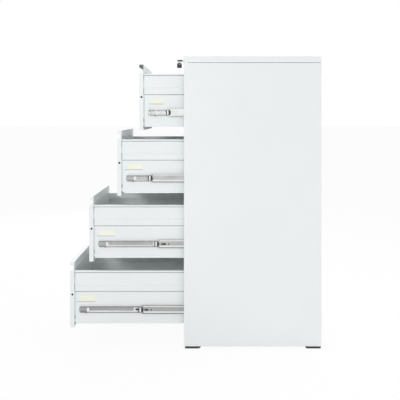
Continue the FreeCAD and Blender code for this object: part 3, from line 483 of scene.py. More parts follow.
@dataclass(frozen=True)
class Moulded(Finish):
    """Moulded plastic: spark-eroded grain, flow marks, and edges that catch the light."""

    pale: Colour = (0.12, 0.12, 0.12)
    roughness: float = 0.52
    grain_scale: float = 1500.0
    grain_depth: float = 0.00005
    flow: Colour = (1.0, 0.35, 1.0)

    def lay(self, board: Board) -> None:
        """Stand the plastic's nodes on a board.

        Args:
            board: the board to stand the nodes on.
        """
        grain = board.cells(self.grain_scale)
        flow = board.noise(42.0, 3.0, self.flow)
        edge = board.edge(0.0005).span(0.05, 0.45)
        tone = board.mix(flow.span(0.42, 0.72) * 0.35 + edge * 0.30, self.colour, self.pale)
        board.surface(
            Base_Color=tone,
            Roughness=self.roughness + (flow - 0.5) * 0.18 + (grain - 0.4) * 0.10,
            Normal=board.bump(grain * 0.6 + flow * 0.4, self.grain_depth, board.rounded(0.0004)),
        )


@dataclass(frozen=True)
class KeyTwoTone(Finish):
    """A key: black moulded head, and bright blade beyond one place along an axis."""

    axis: int = 1
    place: float = 0.0
    blade_beyond: bool = True
    head_edge: Colour = (0.13, 0.13, 0.135)
    metal: Colour = (0.82, 0.81, 0.78)
    dull_metal: Colour = (0.62, 0.61, 0.58)

    def lay(self, board: Board) -> None:
        """Stand the key's nodes on a board.

        Args:
            board: the board to stand the nodes on.
        """
        blade = board.along(self.axis).span(self.place - 0.0001, self.place + 0.0001)
        if not self.blade_beyond:
            blade = 1.0 - blade
        grain = board.cells(1800.0)
        scratch = board.noise(1.0, 3.0, (2600.0, 500.0, 500.0))
        edge = board.edge(0.0004).span(0.05, 0.45)
        # the head is lighter at its edges, a painted highlight, and where its grain is coarse
        head = board.mix(edge * 0.4 + grain * 0.2, self.colour, self.head_edge)
        metal = board.mix(scratch.span(0.4, 0.7), self.metal, self.dull_metal)
        height = grain * (1.0 - blade) + scratch * blade * 0.3
        board.surface(
            Base_Color=board.mix(blade, head, metal),
            Metallic=blade,
            Roughness=(1.0 - blade) * (0.48 + grain * 0.12) + blade * (0.20 + scratch * 0.16),
            Normal=board.bump(height, 0.00004, board.rounded(0.0003)),
        )


@dataclass(frozen=True)
class Paper(Finish):
    """A paper strip: fibres, a faded end and a faint grey rim where it has lifted."""

    faded: Colour = (0.91, 0.91, 0.83)
    lifted: Colour = (0.55, 0.55, 0.46)
    fibres: Colour = (900.0, 420.0, 1500.0)

    def lay(self, board: Board) -> None:
        """Stand the paper's nodes on a board.

        Args:
            board: the board to stand the nodes on.
        """
        fibre = board.noise(1.0, 4.0, self.fibres)
        blot = board.noise(34.0, 3.0)
        rim = board.edge(0.0007).span(0.02, 0.4)
        tone = board.mix((blot * 0.7 + fibre * 0.3).span(0.38, 0.66), self.colour, self.faded)
        board.surface(
            Base_Color=board.mix(rim * 0.4, tone, self.lifted),
            Roughness=0.72 + (fibre - 0.5) * 0.2,
            Normal=board.bump(fibre * 0.6 + blot * 0.4, 0.00005),
        )


@dataclass(frozen=True)
class StudioFloor(Finish):
    """A plain pale floor that the lens sees as white but for the object's shadow."""

    seen_white: float = 0.93

    def lay(self, board: Board) -> None:
        """Stand the floor's nodes on a board.

        Args:
            board: the board to stand the nodes on.
        """
        grain = board.noise(30.0, 3.0)
        tone = board.mix(grain, self.colour, tuple(value * 0.99 for value in self.colour))
        sockets = {"Base Color": tone, "Roughness": 0.85 + grain * 0.1}
        plain = board.add("ShaderNodeBsdfPrincipled", {}, sockets)
        white = board.add("ShaderNodeEmission", {}, {"Color": (1.0, 1.0, 1.0), "Strength": 1.0})
        share = seen_by_lens(board) * self.seen_white
        mixed = board.add("ShaderNodeMixShader", {}, {0: share, 1: plain.outputs[0], 2: white.outputs[0]})
        board.add("ShaderNodeOutputMaterial", {}, {"Surface": mixed.outputs[0]})


@dataclass(frozen=True)
class DrawerCoat(PowderCoat):
    """The drawers' coat, with painted light that makes it a little paler and greener in their enclosed
    insides.
    """

    colour: Colour = (0.845, 0.88, 0.882)
    drift: Colour = (0.82, 0.852, 0.858)
    corner_share: float = 0.4
    # painted light: paler and greener in enclosed insides
    shade: Colour | None = (0.90, 1.0, 0.995)


@dataclass
class FinishRack:
    """Every finish of the cabinet, made once and taken by name."""

    made: dict[str, bpy.types.Material] = field(default_factory=dict)

    casing: Finish = PowderCoat("casing_coat", (0.86, 0.885, 0.89), drift=(0.84, 0.865, 0.87))
    drawer: Finish = DrawerCoat("drawer_coat")
    drawer_side: Finish = DrawerCoat("drawer_side_coat", corner_share=0.25, weld_row=0.114)
    post: Finish = PowderCoat("post_coat", (0.79, 0.81, 0.81), drift=(0.76, 0.78, 0.78), roughness=0.5)
    slide: Finish = ZincPlate("slide_zinc_plate", (0.80, 0.815, 0.81))
    plate: Finish = ZincPlate("stamped_plate", (0.54, 0.55, 0.55), dull=(0.36, 0.365, 0.36), roughness=0.42)
    bright_zinc: Finish = ZincPlate("rivet_zinc", (0.74, 0.75, 0.75), dull=(0.6, 0.61, 0.6), roughness=0.28)
    # painted highlight: a pale zinc for tracks, ribs and the pan's fold, standing in for the light they catch
    track: Finish = ZincPlate(
        "rolled_track", (0.84, 0.86, 0.84), dull=(0.77, 0.79, 0.77), roughness=0.3, metallic=0.2
    )
    # painted shadow: a dark zinc for strips along the members' lower edges, where shade falls under them
    groove: Finish = ZincPlate("rolled_groove", (0.26, 0.265, 0.26), dull=(0.19, 0.195, 0.19), roughness=0.5)
    foot: Finish = Moulded("foot_rubber", (0.030, 0.030, 0.031), pale=(0.085, 0.085, 0.085), roughness=0.68)
    lever: Finish = Moulded("lever_plastic", (0.022, 0.022, 0.023), pale=(0.07, 0.07, 0.07), roughness=0.42)
    cap_grey: Finish = Moulded("cap_grey_plastic", (0.125, 0.13, 0.135), pale=(0.24, 0.24, 0.25))
    cap_white: Finish = Moulded(
        "cap_white_plastic", (0.84, 0.86, 0.86), pale=(0.90, 0.91, 0.91), roughness=0.45
    )
    clip: Finish = Moulded("clip_plastic", (0.88, 0.89, 0.88), pale=(0.93, 0.93, 0.93), roughness=0.4)
    lock: Finish = BrightPlate("lock_plate", (0.76, 0.76, 0.75))
    ring: Finish = BrightPlate("ring_wire", (0.62, 0.62, 0.62), roughness=0.24)
    key: Finish = KeyTwoTone("key_in_lock", (0.020, 0.020, 0.021), axis=1, place=-0.3176)
    spare_key: Finish = KeyTwoTone(
        "spare_key_two_tone", (0.020, 0.020, 0.021), axis=2, place=1.2705, blade_beyond=False
    )
    grip: Finish = Moulded("key_grip", (0.018, 0.018, 0.019), pale=(0.06, 0.06, 0.06), roughness=0.5)
    label: Finish = Paper("label_paper", (0.90, 0.90, 0.74))
    # painted shadow: the grey line under the label
    line: Finish = Moulded("printed_line", (0.33, 0.34, 0.32), pale=(0.45, 0.45, 0.43), roughness=0.6)
    # painted shadow: a dark finish for strips in the open laps and notches, where there is only shade
    gap: Finish = Moulded("open_lap", (0.10, 0.11, 0.112), pale=(0.2, 0.21, 0.21), roughness=0.75)

    def take(self, name: str) -> bpy.types.Material:
        """The material of one finish, by its name on this rack.

        Args:
            name: the finish's name on this rack.

        Returns:
            The material, made at the first call.
        """
        if name not in self.made:
            self.made[name] = getattr(self, name).make()
        return self.made[name]


# ---- shaping


@dataclass
class Solid:
    """A closed shell in millimetres, in the row frame."""

    points: list[Vector]
    faces: list[tuple[int, ...]]

    def mirrored(self) -> "Solid":
        """The same shell on the left side."""
        flipped = [Vector((-point.x, point.y, point.z)) for point in self.points]
        return Solid(flipped, [tuple(reversed(face)) for face in self.faces])


def both_hands(solids: Iterable[Solid]) -> list[Solid]:
    """Right-hand solids and their left-hand twins."""
    right = list(solids)
    return right + [solid.mirrored() for solid in right]


def arc(middle: Point, radii: Point, start: float, end: float, steps: int) -> list[Point]:
    """A run of points round part of an ellipse, from one angle to another in degrees."""
    turns = [math.radians(start + (end - start) * step / steps) for step in range(steps + 1)]
    return [(middle[0] + radii[0] * math.cos(turn), middle[1] + radii[1] * math.sin(turn)) for turn in turns]


def circle(middle: Point, radius: float, steps: int = 24) -> list[Point]:
    """A circle as a run of points, anticlockwise."""
    return arc(middle, (radius, radius), 0.0, 360.0, steps)[:-1]


def rectangle(first: Point, second: Point, radius: float = 0.0, steps: int = 5) -> list[Point]:
    """A rectangle with rounded corners.

    Args:
        first: its lowest corner.
        second: its highest corner.
        radius: the corners' radius.
        steps: how many runs each corner has.

    Returns:
        The outline, anticlockwise.
    """
    (low_u, low_v), (high_u, high_v) = first, second
    if radius <= 0.0:
        return [(low_u, low_v), (high_u, low_v), (high_u, high_v), (low_u, high_v)]
    corners = (
        (high_u - radius, low_v + radius, -90.0),
        (high_u - radius, high_v - radius, 0.0),
        (low_u + radius, high_v - radius, 90.0),
        (low_u + radius, low_v + radius, 180.0),
    )
    runs = [arc((u, v), (radius, radius), turn, turn + 90.0, steps) for u, v, turn in corners]
    return [point for run in runs for point in run]


def plate(
    outline: Sequence[Point],
    low: float,
    high: float,
    plane: Plane = Plane.SIDE,
    holes: Sequence[Sequence[Point]] = (),
) -> Solid:
    """A flat plate with holes through it.

    Args:
        outline: its outer edge.
        low: where its thickness starts, along the plane's third axis.
        high: where its thickness ends.
        plane: the plane of the outline.
        holes: the edge of each hole.

    Returns:
        The plate.
    """
    loops = [list(outline), *[list(hole) for hole in holes]]
    flat = [point for loop in loops for point in loop]
    count = len(flat)
    points = [plane.at(u, v, depth) for depth in (low, high) for u, v in flat]
    faces = []
    for triangle in tessellate_polygon([[Vector((u, v, 0.0)) for u, v in loop] for loop in loops]):
        faces.append(tuple(triangle))
        faces.append(tuple(index + count for index in reversed(triangle)))
    start = 0
    for loop in loops:
        size = len(loop)
        for step in range(size):
            here = start + step
            following = start + (step + 1) % size
            faces.append((here, following, following + count, here + count))
        start += size
    return Solid(points, faces)


def rings(first: int, count: int, steps: int) -> list[tuple[int, ...]]:
    """The faces between rings of points that follow each other.

    Args:
        first: the index of the first ring's first point.
        count: how many rings there are.
        steps: how many points each has.

    Returns:
        The faces.
    """
    faces: list[tuple[int, ...]] = []
    for here in range(first, first + (count - 1) * steps, steps):
        for step in range(steps):
            following = (step + 1) % steps
            faces.append((here + step, here + following, here + steps + following, here + steps + step))
    return faces


def turned(profile: Sequence[Point], middle: Vector, plane: Plane = Plane.SIDE, steps: int = 18) -> Solid:
    """A round piece, turned about the plane's third axis.

    Args:
        profile: the radius and height of each point, the first and last on the axis.
        middle: the place of height 0 on the axis.
        plane: the plane across the axis.
        steps: how many runs there are in a turn.

    Returns:
        The piece.
    """
    points = [middle + plane.at(0.0, 0.0, profile[0][1])]
    for radius, height in profile[1:-1]:
        points += [middle + plane.at(u, v, height) for u, v in circle((0.0, 0.0), radius, steps)]
    points.append(middle + plane.at(0.0, 0.0, profile[-1][1]))
    count = len(profile) - 2
    last = 1 + (count - 1) * steps
    faces = rings(1, count, steps)
    for step in range(steps):
        following = (step + 1) % steps
        faces.append((0, 1 + following, 1 + step))
        faces.append((len(points) - 1, last + step, last + following))
    return Solid(points, faces)


def dome(radius: float, height: float) -> tuple[Point, ...]:
    """The profile of a rivet head, a low dome on a flat foot, with a radius and a height."""
    crown = [(radius * math.cos(turn), height * (0.25 + 0.75 * math.sin(turn))) for turn in (0.5, 1.0)]
    return ((0.0, 0.0), (radius, 0.0), (radius, height * 0.25), *crown, (0.0, height))


def ball(middle: Vector, radius: float) -> Solid:
    """A bearing ball about its middle."""
    return turned(arc((0.0, 0.0), (radius, radius), -90.0, 90.0, 6), middle, steps=10)


def wire(path: Sequence[Vector], radius: float, steps: int = 8) -> Solid:
    """A round wire along a path, closed at both ends.

    Args:
        path: the points of its middle line.
        radius: its radius.
        steps: how many sides it has.

    Returns:
        The wire.
    """
    points: list[Vector] = []
    side = Vector((0.0, 1.0, 0.0))
    for index, point in enumerate(path):
        before = path[max(index - 1, 0)]
        after = path[min(index + 1, len(path) - 1)]
        run = (after - before).normalized()
        side = (side - run * side.dot(run)).normalized()
        across = run.cross(side)
        points += [point + side * u + across * v for u, v in circle((0.0, 0.0), radius, steps)]
    ends = [tuple(reversed(range(steps))), tuple(range(len(points) - steps, len(points)))]
    return Solid(points, ends + rings(0, len(path), steps))


@dataclass(frozen=True)
class Cut:
    """A flat plate seen from the side: its outline, its depth across the cabinet and its hole."""

    outline: tuple[Point, ...]
    depth: Point
    hole: tuple[Point, ...] = ()

    def at(self, start: float, level: float) -> Solid:
        """The plate, with its outline counted from a start along the cabinet and from a level."""
        loops = [[(start + y, level + z) for y, z in loop] for loop in (self.outline, self.hole) if loop]
        return plate(loops[0], *self.depth, Plane.SIDE, loops[1:])


def strip(run: Point, rows: Point, depth: Point, radius: float = 0.0) -> Cut:
    """A straight strip: its run along, its rows above each other, its depth and its corners' radius."""
    return Cut(tuple(rectangle((run[0], rows[0]), (run[1], rows[1]), radius)), depth)


@dataclass(frozen=True)
class Rolled:
    """A profile that runs along the cabinet: its outline across, and its run."""

    outline: tuple[Point, ...]
    run: Point

    def at(self, start: float, level: float) -> Solid:
        """The profile's solid, with its run counted from a start and its outline from a level."""
        section = [(x, level + z) for x, z in self.outline]
        return plate(section, -(start + self.run[1]), -(start + self.run[0]), Plane.FRONT)


@dataclass(frozen=True)
class Turned:
    """A round head: its profile, its place along and above, and where its foot lies across the cabinet."""

    profile: tuple[Point, ...]
    place: Point
    foot: float
    steps: int = 14

    def at(self, start: float, level: float) -> Solid:
        """The head, with its place counted from a start and a level."""
        middle = Vector((self.foot, start + self.place[0], level + self.place[1]))
        return turned(self.profile, middle, steps=self.steps)


def extent(name: str) -> tuple[Vector, Vector]:
    """The lowest and highest corner of a node at rest, in millimetres."""
    low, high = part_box(name)
    return low / MM, high / MM


@dataclass
class Bench:
    """Where pieces are made: the frame's nodes and the rack of finishes."""

    nodes: dict[str, bpy.types.Object]
    rack: FinishRack
    pieces: int = 0
    sharp_from: float = 32.0
    soften_from: float = 40.0

    def dress(self, finish: str, *names: str) -> None:
        """Give carried-over nodes a finish.

        Args:
            finish: the finish's name on the rack.
            names: the nodes.
        """
        for name in names:
            for holder in self.nodes[name].material_slots:
                holder.material = self.rack.take(finish)
        log.info("dressed %s in %s", ", ".join(names), finish)

    def piece(
        self,
        name: str,
        body: str,
        finish: str,
        solids: Iterable[Solid],
        soften: float = 0.0,
    ) -> bpy.types.Object:
        """Make one piece of the scene and hang it on its body.

        Args:
            name: the piece's name.
            body: the body that it moves with.
            finish: the finish's name on the rack.
            solids: its shells, in millimetres.
            soften: the width of its softened edges, in millimetres.

        Returns:
            The piece.
        """
        made = bpy.data.objects.new(name, self._mesh(name, solids))
        made.data.materials.append(self.rack.take(finish))
        bpy.context.scene.collection.objects.link(made)
        if soften:
            bevel = made.modifiers.new("softened", "BEVEL")
            bevel.width = soften * MM
            bevel.segments = 2
            bevel.limit_method = "ANGLE"
            bevel.angle_limit = math.radians(self.soften_from)
            bevel.harden_normals = True
        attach(made, body)
        self.pieces += 1
        log.info("made %s on %s", name, body)
        return made

    def _mesh(self, name: str, solids: Iterable[Solid]) -> bpy.types.Mesh:
        """Several shells as one mesh in metres, shaded smooth between its sharp edges.

        Args:
            name: the mesh's name.
            solids: its shells, in millimetres.

        Returns:
            The mesh.
        """
        points: list[Vector] = []
        faces: list[tuple[int, ...]] = []
        for solid in solids:
            start = len(points)
            points += [point * MM for point in solid.points]
            faces += [tuple(index + start for index in face) for face in solid.faces]
        mesh = bpy.data.meshes.new(name)
        mesh.from_pydata(points, [], faces)
        shell = bmesh.new()
        shell.from_mesh(mesh)
        bmesh.ops.recalc_face_normals(shell, faces=shell.faces)
        shell.to_mesh(mesh)
        shell.free()
        mesh.shade_smooth()
        mesh.set_sharp_from_angle(angle=math.radians(self.sharp_from))
        return mesh


# ---- the cabinet, in millimetres


class Origin(Enum):
    """What a part's two numbers count from, by the storey's names for the places along and above."""

    FRONT = ("face", "lip")
    SEAT = ("face", "slide")
    MEMBER = ("member", "slide")
    RUNNER = ("middle", "slide")


@dataclass(frozen=True)
class Storey:
    """Where one drawer and its slides stand: the places of the drawer's face, lip and slide members."""

    number: int
    face: float
    lip: float
    member: float
    middle: float
    slide_drop: float = 218.0

    @classmethod
    def read(cls, number: int) -> "Storey":
        """Take a storey's places from the frame.

        Args:
            number: the drawer's number, 1 for the top one.

        Returns:
            The storey.
        """
        low, high = extent(f"drawer_{number}_front")
        member, _ = extent(f"drawer_{number}_slide_members")
        middle, _ = extent(f"slide_middle_{number}")
        return cls(number, low.y, high.z, member.y, middle.y)

    @property
    def slide(self) -> float:
        """The height of the slides' middle line."""
        return self.lip - self.slide_drop

    def place(self, origin: Origin) -> Point:
        """Where an origin is: its places along and above."""
        return getattr(self, origin.value[0]), getattr(self, origin.value[1])

    @property
    def drawer(self) -> str:
        """The name of the drawer's body."""
        return f"drawer_{self.number}"

    @property
    def runner(self) -> str:
        """The name of the middle members' body."""
        return f"middle_{self.number}"


@dataclass(frozen=True)
class Row:
    """Right-hand parts that make one piece: its name and look, and whether the left has their twins."""

    name: str
    finish: str
    slot: Slot | None
    origin: Origin
    parts: tuple[Cut | Rolled | Turned, ...]
    soften: float = 0.0
    twins: bool = True

    def build(self, bench: Bench, storey: Storey) -> None:
        """Make the piece of one storey.

        Args:
            bench: the bench.
            storey: the storey.
        """
        body = storey.runner if self.origin is Origin.RUNNER else storey.drawer
        solids = [part.at(*storey.place(self.origin)) for part in self.parts]
        if self.twins:
            solids = both_hands(solids)
        bench.piece(f"{self.name}_{storey.number}", body, self.finish, solids, self.soften)


@dataclass(frozen=True)
class BallCage:
    """The strips that hold a slide's bearing balls, above and below its middle line."""

    start: float
    length: float
    height: float
    ball_radius: float
    across: Point
    pitch: float = 20.0
    end_margin: float = 10.0
    spare_length: float = 14.0
    thickness: float = 0.8
    hole_play: float = 0.15
    corner: float = 1.2

    def build(self, bench: Bench, name: str, body: str, storey: Storey, origin: float) -> None:
        """Make the strips and balls of a storey's two slides.

        Args:
            bench: the bench.
            name: what the pieces' names start with.
            body: the body that they move with.
            storey: the storey.
            origin: the place along the cabinet from which the start counts.
        """
        (low, high), start = self.across, origin + self.start
        middle = (low + high) / 2
        count = int((self.length - self.spare_length) / self.pitch) + 1
        places = [start + self.end_margin + self.pitch * step for step in range(count)]
        outline = rectangle((low, start), (high, start + self.length), self.corner, 3)
        holes = [circle((middle, place), self.ball_radius + self.hole_play, 12) for place in places]
        heights = [storey.slide - self.height, storey.slide + self.height]
        half = self.thickness / 2
        strips = [plate(outline, height - half, height + half, Plane.TOP, holes) for height in heights]
        middles = [Vector((middle, place, height)) for height in heights for place in places]
        balls = [ball(point, self.ball_radius) for point in middles]
        bench.piece(f"{name}_cages_{storey.number}", body, "slide", both_hands(strips))
        bench.piece(f"{name}_balls_{storey.number}", body, "bright_zinc", both_hands(balls))


@dataclass
class Casing:
    """The shell that stands on the floor, with its posts, outer slides and feet."""

    body: str = "carcass"
    shell: tuple[str, ...] = (
        "side_panel_left", "side_panel_right", "back_panel", "top_cover", "bottom_pan", "plinth", "top_rail",
    )
    back_face: float = 309.1
    screw: tuple[Point, ...] = ((0.0, 0.0), (3.2, 0.0), (3.2, 0.28), (2.24, 0.7), (1.28, 0.7), (0.0, 0.315))
    screw_columns: Point = (-222.0, 222.0)
    screw_rows: tuple[float, ...] = (60.0, 370.0, 670.0, 970.0, 1285.0)
    cage: BallCage = BallCage(-262.0, 250.0, 19.45, 1.25, across=(203.6, 208.8))

    def build(self, bench: Bench) -> None:
        """Dress the shell and add the dished screw heads on its back.

        Args:
            bench: the bench.
        """
        bench.dress("casing", *self.shell)
        bench.dress("post", "slide_posts_front", "slide_posts_rear")
        bench.dress("slide", "slide_outer_left", "slide_outer_right")
        bench.dress("foot", "feet_front", "feet_rear")
        spots = [(column, row) for column in self.screw_columns for row in self.screw_rows]
        heads = [turned(self.screw, Vector((x, self.back_face, z)), Plane.BACK, 20) for x, z in spots]
        bench.piece("back_screws", self.body, "bright_zinc", heads)


# where the drawer members' webs lie across the cabinet, and where their fittings stand along them
WEB = 200.2
BOSSES_AT = (9.0, 25.3)
WASHERS_AT = (60.0, 490.0)
RIVETS_AT = (96.0, 232.0, 368.0, 456.0)
# profiles and outlines
RIVET_FOOT = ((0.0, 0.0), (5.0, 0.0), (5.0, 0.35), (0.0, 0.35))
FILLET = (
    (200.25, 12.25), (207.2, 12.25), (205.0, 11.9), (203.0, 11.1), (201.6, 9.9), (200.6, 8.4), (200.25, 6.2),
)
LOWER_FILLET = tuple((x, -z) for x, z in FILLET)
LOWER_RIB = ((209.5, -6.2), (209.9, -7.2), (210.05, -9.6), (209.9, -12.8), (209.5, -13.9))
UPPER_RIB = ((209.5, 13.0), (209.8, 13.6), (209.9, 15.4), (209.8, 17.4), (209.5, 17.98))
CRESCENT = (
    (-3.4, -11.4), (1.0, -11.8), *arc((-3.6, 0.0), (10.4, 13.2), -60.0, 60.0, 10), (1.0, 11.8), (-3.4, 11.4),
    (-2.6, 0.0),
)

# the plates, clips, rivets and washers on the drawer members, and the stops on the middle members
SLIDE_ROWS = (
    Row(
        "end_plates", "plate", Slot.SLIDE, Origin.MEMBER,
        (strip((1.2, 33.0), (-10.4, 10.4), (200.25, 201.25), 6.0),), 0.35,
    ),
    Row(
        "end_plate_bosses", "slide", Slot.SLIDE, Origin.MEMBER,
        tuple(Turned(dome(4.0, 1.0), (place, -1.0), WEB + 1.0) for place in BOSSES_AT),
    ),
    Row(
        "end_plate_slots", "lever", Slot.LEVER, Origin.MEMBER,
        tuple(strip((place - 2.4, place + 2.4), (6.6, 9.2), (201.2, 201.4), 1.2) for place in BOSSES_AT),
    ),
    Row(
        "clips", "clip", Slot.CAP_WHITE, Origin.MEMBER,
        (
            strip((35.5, 46.5), (-8.4, 8.0), (200.25, 202.8), 1.6),
            strip((39.1, 42.9), (-6.2, 5.8), (202.8, 204.2), 1.2),
        ),
        0.45,
    ),
    Row(
        "clip_tabs", "lever", Slot.LEVER, Origin.MEMBER,
        (strip((30.0, 36.0), (-16.0, -13.55), (201.2, 206.8), 0.6),), 0.3,
    ),
    Row(
        "member_rivets", "slide", Slot.SLIDE, Origin.MEMBER,
        tuple(
            Turned(profile, (place, 0.0), WEB, steps)
            for place in RIVETS_AT
            for profile, steps in ((dome(3.4, 1.2), 14), (RIVET_FOOT, 18))
        ),
    ),
    Row(
        "slot_washers", "slide", Slot.SLIDE, Origin.MEMBER,
        tuple(strip((place - 12.6, place + 12.6), (-4.4, 4.4), (200.22, 200.7), 2.2) for place in WASHERS_AT),
    ),
    Row(
        "slot_screws", "plate", Slot.SLIDE, Origin.MEMBER,
        tuple(Turned(dome(3.6, 1.3), (place, 0.0), WEB + 0.45) for place in WASHERS_AT),
    ),
    Row(
        "lever_seats", "clip", Slot.CAP_WHITE, Origin.SEAT,
        (strip((287.0, 334.0), (-9.6, 9.6), (200.22, 200.55), 2.2),),
    ),
    Row(
        "stop_blocks", "clip", Slot.CAP_WHITE, Origin.RUNNER,
        (strip((-11.0, -3.6), (-10.8, 10.8), (205.9, 208.2), 1.4),), 0.5,
    ),
    Row(
        "stop_bars", "lever", Slot.LEVER, Origin.RUNNER,
        (
            strip((-15.4, -11.2), (-10.0, 10.0), (205.9, 208.0), 0.8),
            Cut(CRESCENT, (209.5, 210.3)),
            strip((-3.4, -0.2), (-11.4, 11.4), (205.9, 209.5), 0.4),
        ),
        0.2,
    ),
)
# the tracks rolled into the members, with a pale finish as painted highlight on the lower channel tracks and
# the face ribs, and dark strips of painted shadow along their lower edges
CHANNEL_RUN = (35.0, 546.0)
FACE_RUN = (8.5, 545.0)
# painted shadow: dark strips along the lower edges of the drawer and middle members
MEMBER_SHADOW = strip((8.0, 548.0), (-13.45, -11.9), (207.42, 207.6))
RUNNER_SHADOW = strip((4.0, 548.0), (-17.4, -15.0), (209.51, 209.66))
TRACK_ROWS = (
    Row("lower_channel_tracks", "track", Slot.SLIDE, Origin.MEMBER, (Rolled(LOWER_FILLET, CHANNEL_RUN),)),
    Row("upper_channel_tracks", "slide", Slot.SLIDE, Origin.MEMBER, (Rolled(FILLET, CHANNEL_RUN),)),
    Row("lower_face_ribs", "track", Slot.SLIDE, Origin.RUNNER, (Rolled(LOWER_RIB, FACE_RUN),)),
    Row("upper_face_ribs", "track", Slot.SLIDE, Origin.RUNNER, (Rolled(UPPER_RIB, FACE_RUN),)),
    Row("member_edges", "groove", Slot.SLIDE, Origin.MEMBER, (MEMBER_SHADOW,)),
    Row("runner_edges", "groove", Slot.SLIDE, Origin.RUNNER, (RUNNER_SHADOW,)),
)

# dark strips of painted shadow in the open laps along a drawer's sides, and in the insides of the notches in
# their front ends
LAP_SHADOWS = (
    strip((21.0, 558.0), (-50.05, -48.3), (206.01, 206.22), 0.3),
    strip((21.0, 558.0), (-136.4, -134.7), (203.01, 203.22), 0.3),
)
RELIEF_SHADOWS = (
    strip((19.1, 20.4), (-130.0, -103.0), (203.01, 203.2), 0.6),
    strip((19.1, 21.3), (-260.0, -246.0), (199.01, 199.2), 0.6),
    strip((19.1, 22.1), (-281.5, -276.5), (199.01, 199.2), 0.6),
)
# the lock bar's bolt hole in the right-hand return, and the pan's folded edge behind the front, whose pale
# finish is a painted highlight
BOLT_HOLE = (10.4, -147.4)
BOLT_LINER = (
    Cut(tuple(circle(BOLT_HOLE, 4.7)), (210.95, 211.4), tuple(circle(BOLT_HOLE, 2.75))),
    Cut(tuple(circle(BOLT_HOLE, 4.2)), (205.2, 205.6)),
)
PAN_EDGE = ((19.0, -30.5), *arc((19.0, -29.2), (1.5, 1.3), -90.0, 90.0, 6), (19.0, -27.9))
DRAWER_ROWS = (
    Row("side_laps", "gap", None, Origin.FRONT, LAP_SHADOWS),
    Row("side_reliefs", "gap", None, Origin.FRONT, RELIEF_SHADOWS),
    Row("bolt_hole_liner", "lever", Slot.LEVER, Origin.FRONT, BOLT_LINER, twins=False),
    Row("pan_fold", "track", Slot.DRAWER, Origin.FRONT, (Cut(PAN_EDGE, (-184.0, 184.0)),), twins=False),
)


def latch_row(near: float, far: float, pin: float) -> Row:
    """The dark latch slots and their pins on the middle members' outer faces.

    Args:
        near: the front end of the slot.
        far: its back end.
        pin: the place of the pin.

    Returns:
        The row.
    """
    slot = strip((near, far), (-3.6, 4.4), (209.45, 209.75), 2.6)
    nose = strip((near - 3.0, near + 3.0), (-1.0, 1.6), (209.45, 209.7), 0.8)
    post = strip((pin - 1.8, pin + 1.8), (-4.6, 4.8), (209.45, 210.1), 0.9)
    return Row("latch_slots", "lever", Slot.LEVER, Origin.RUNNER, (slot, nose, post))


def label_rows(near: float, far: float, foot: float) -> tuple[Row, ...]:
    """The blank paper strip on a drawer's right side, and the grey line of painted shadow under it.

    Args:
        near: the front end of the paper.
        far: its back end.
        foot: its lower edge.

    Returns:
        The rows.
    """
    paper = strip((near, far), (foot, foot + 23.0), (199.02, 199.2), 1.5)
    # painted shadow: a grey line under the paper
    shadow_rule = strip((near - 14.0, far), (foot - 3.6, foot - 1.6), (199.02, 199.14), 0.5)
    return (
        Row("label_strip", "label", None, Origin.FRONT, (paper,), twins=False),
        Row("label_line", "line", None, Origin.FRONT, (shadow_rule,), twins=False),
    )


@dataclass
class Drawer:
    """One drawer: folded front with a full-width pull, sides, tray and back."""

    storey: Storey
    caps: str
    rows: tuple[Row, ...] = DRAWER_ROWS

    def build(self, bench: Bench) -> None:
        """Dress the drawer's nodes and add its paper with the painted shadow under it, the painted shadows in
        its laps and reliefs, its liner, and its fold with a painted highlight.

        Args:
            bench: the bench.
        """
        drawer = self.storey.drawer
        bench.dress("drawer", *[f"{drawer}_{sheet}" for sheet in ("front", "inner_pan", "tray", "back")])
        bench.dress("drawer_side", f"{drawer}_side_right", f"{drawer}_side_left")
        bench.dress(self.caps, f"{drawer}_handle_caps")
        for row in self.rows:
            row.build(bench, self.storey)


@dataclass
class Slide:
    """The telescopic slides of one storey, right and left."""

    storey: Storey
    rows: tuple[Row, ...] = SLIDE_ROWS
    tracks: tuple[Row, ...] = TRACK_ROWS
    cage: BallCage = BallCage(62.0, 210.0, 15.15, 1.45, across=(201.9, 206.7))

    def build(self, bench: Bench) -> None:
        """Dress the members and add their plates, clips, rivets, stops, tracks with their painted highlights
        and shadow strips, and ball cages.

        Args:
            bench: the bench.
        """
        storey = self.storey
        bench.dress("slide", f"{storey.drawer}_slide_members", f"slide_middle_{storey.number}")
        bench.dress("lever", f"{storey.drawer}_release_levers")
        for row in self.rows:
            row.build(bench, storey)
        self.cage.build(bench, "inner", storey.runner, storey, storey.middle)
        for row in self.tracks:
            row.build(bench, storey)


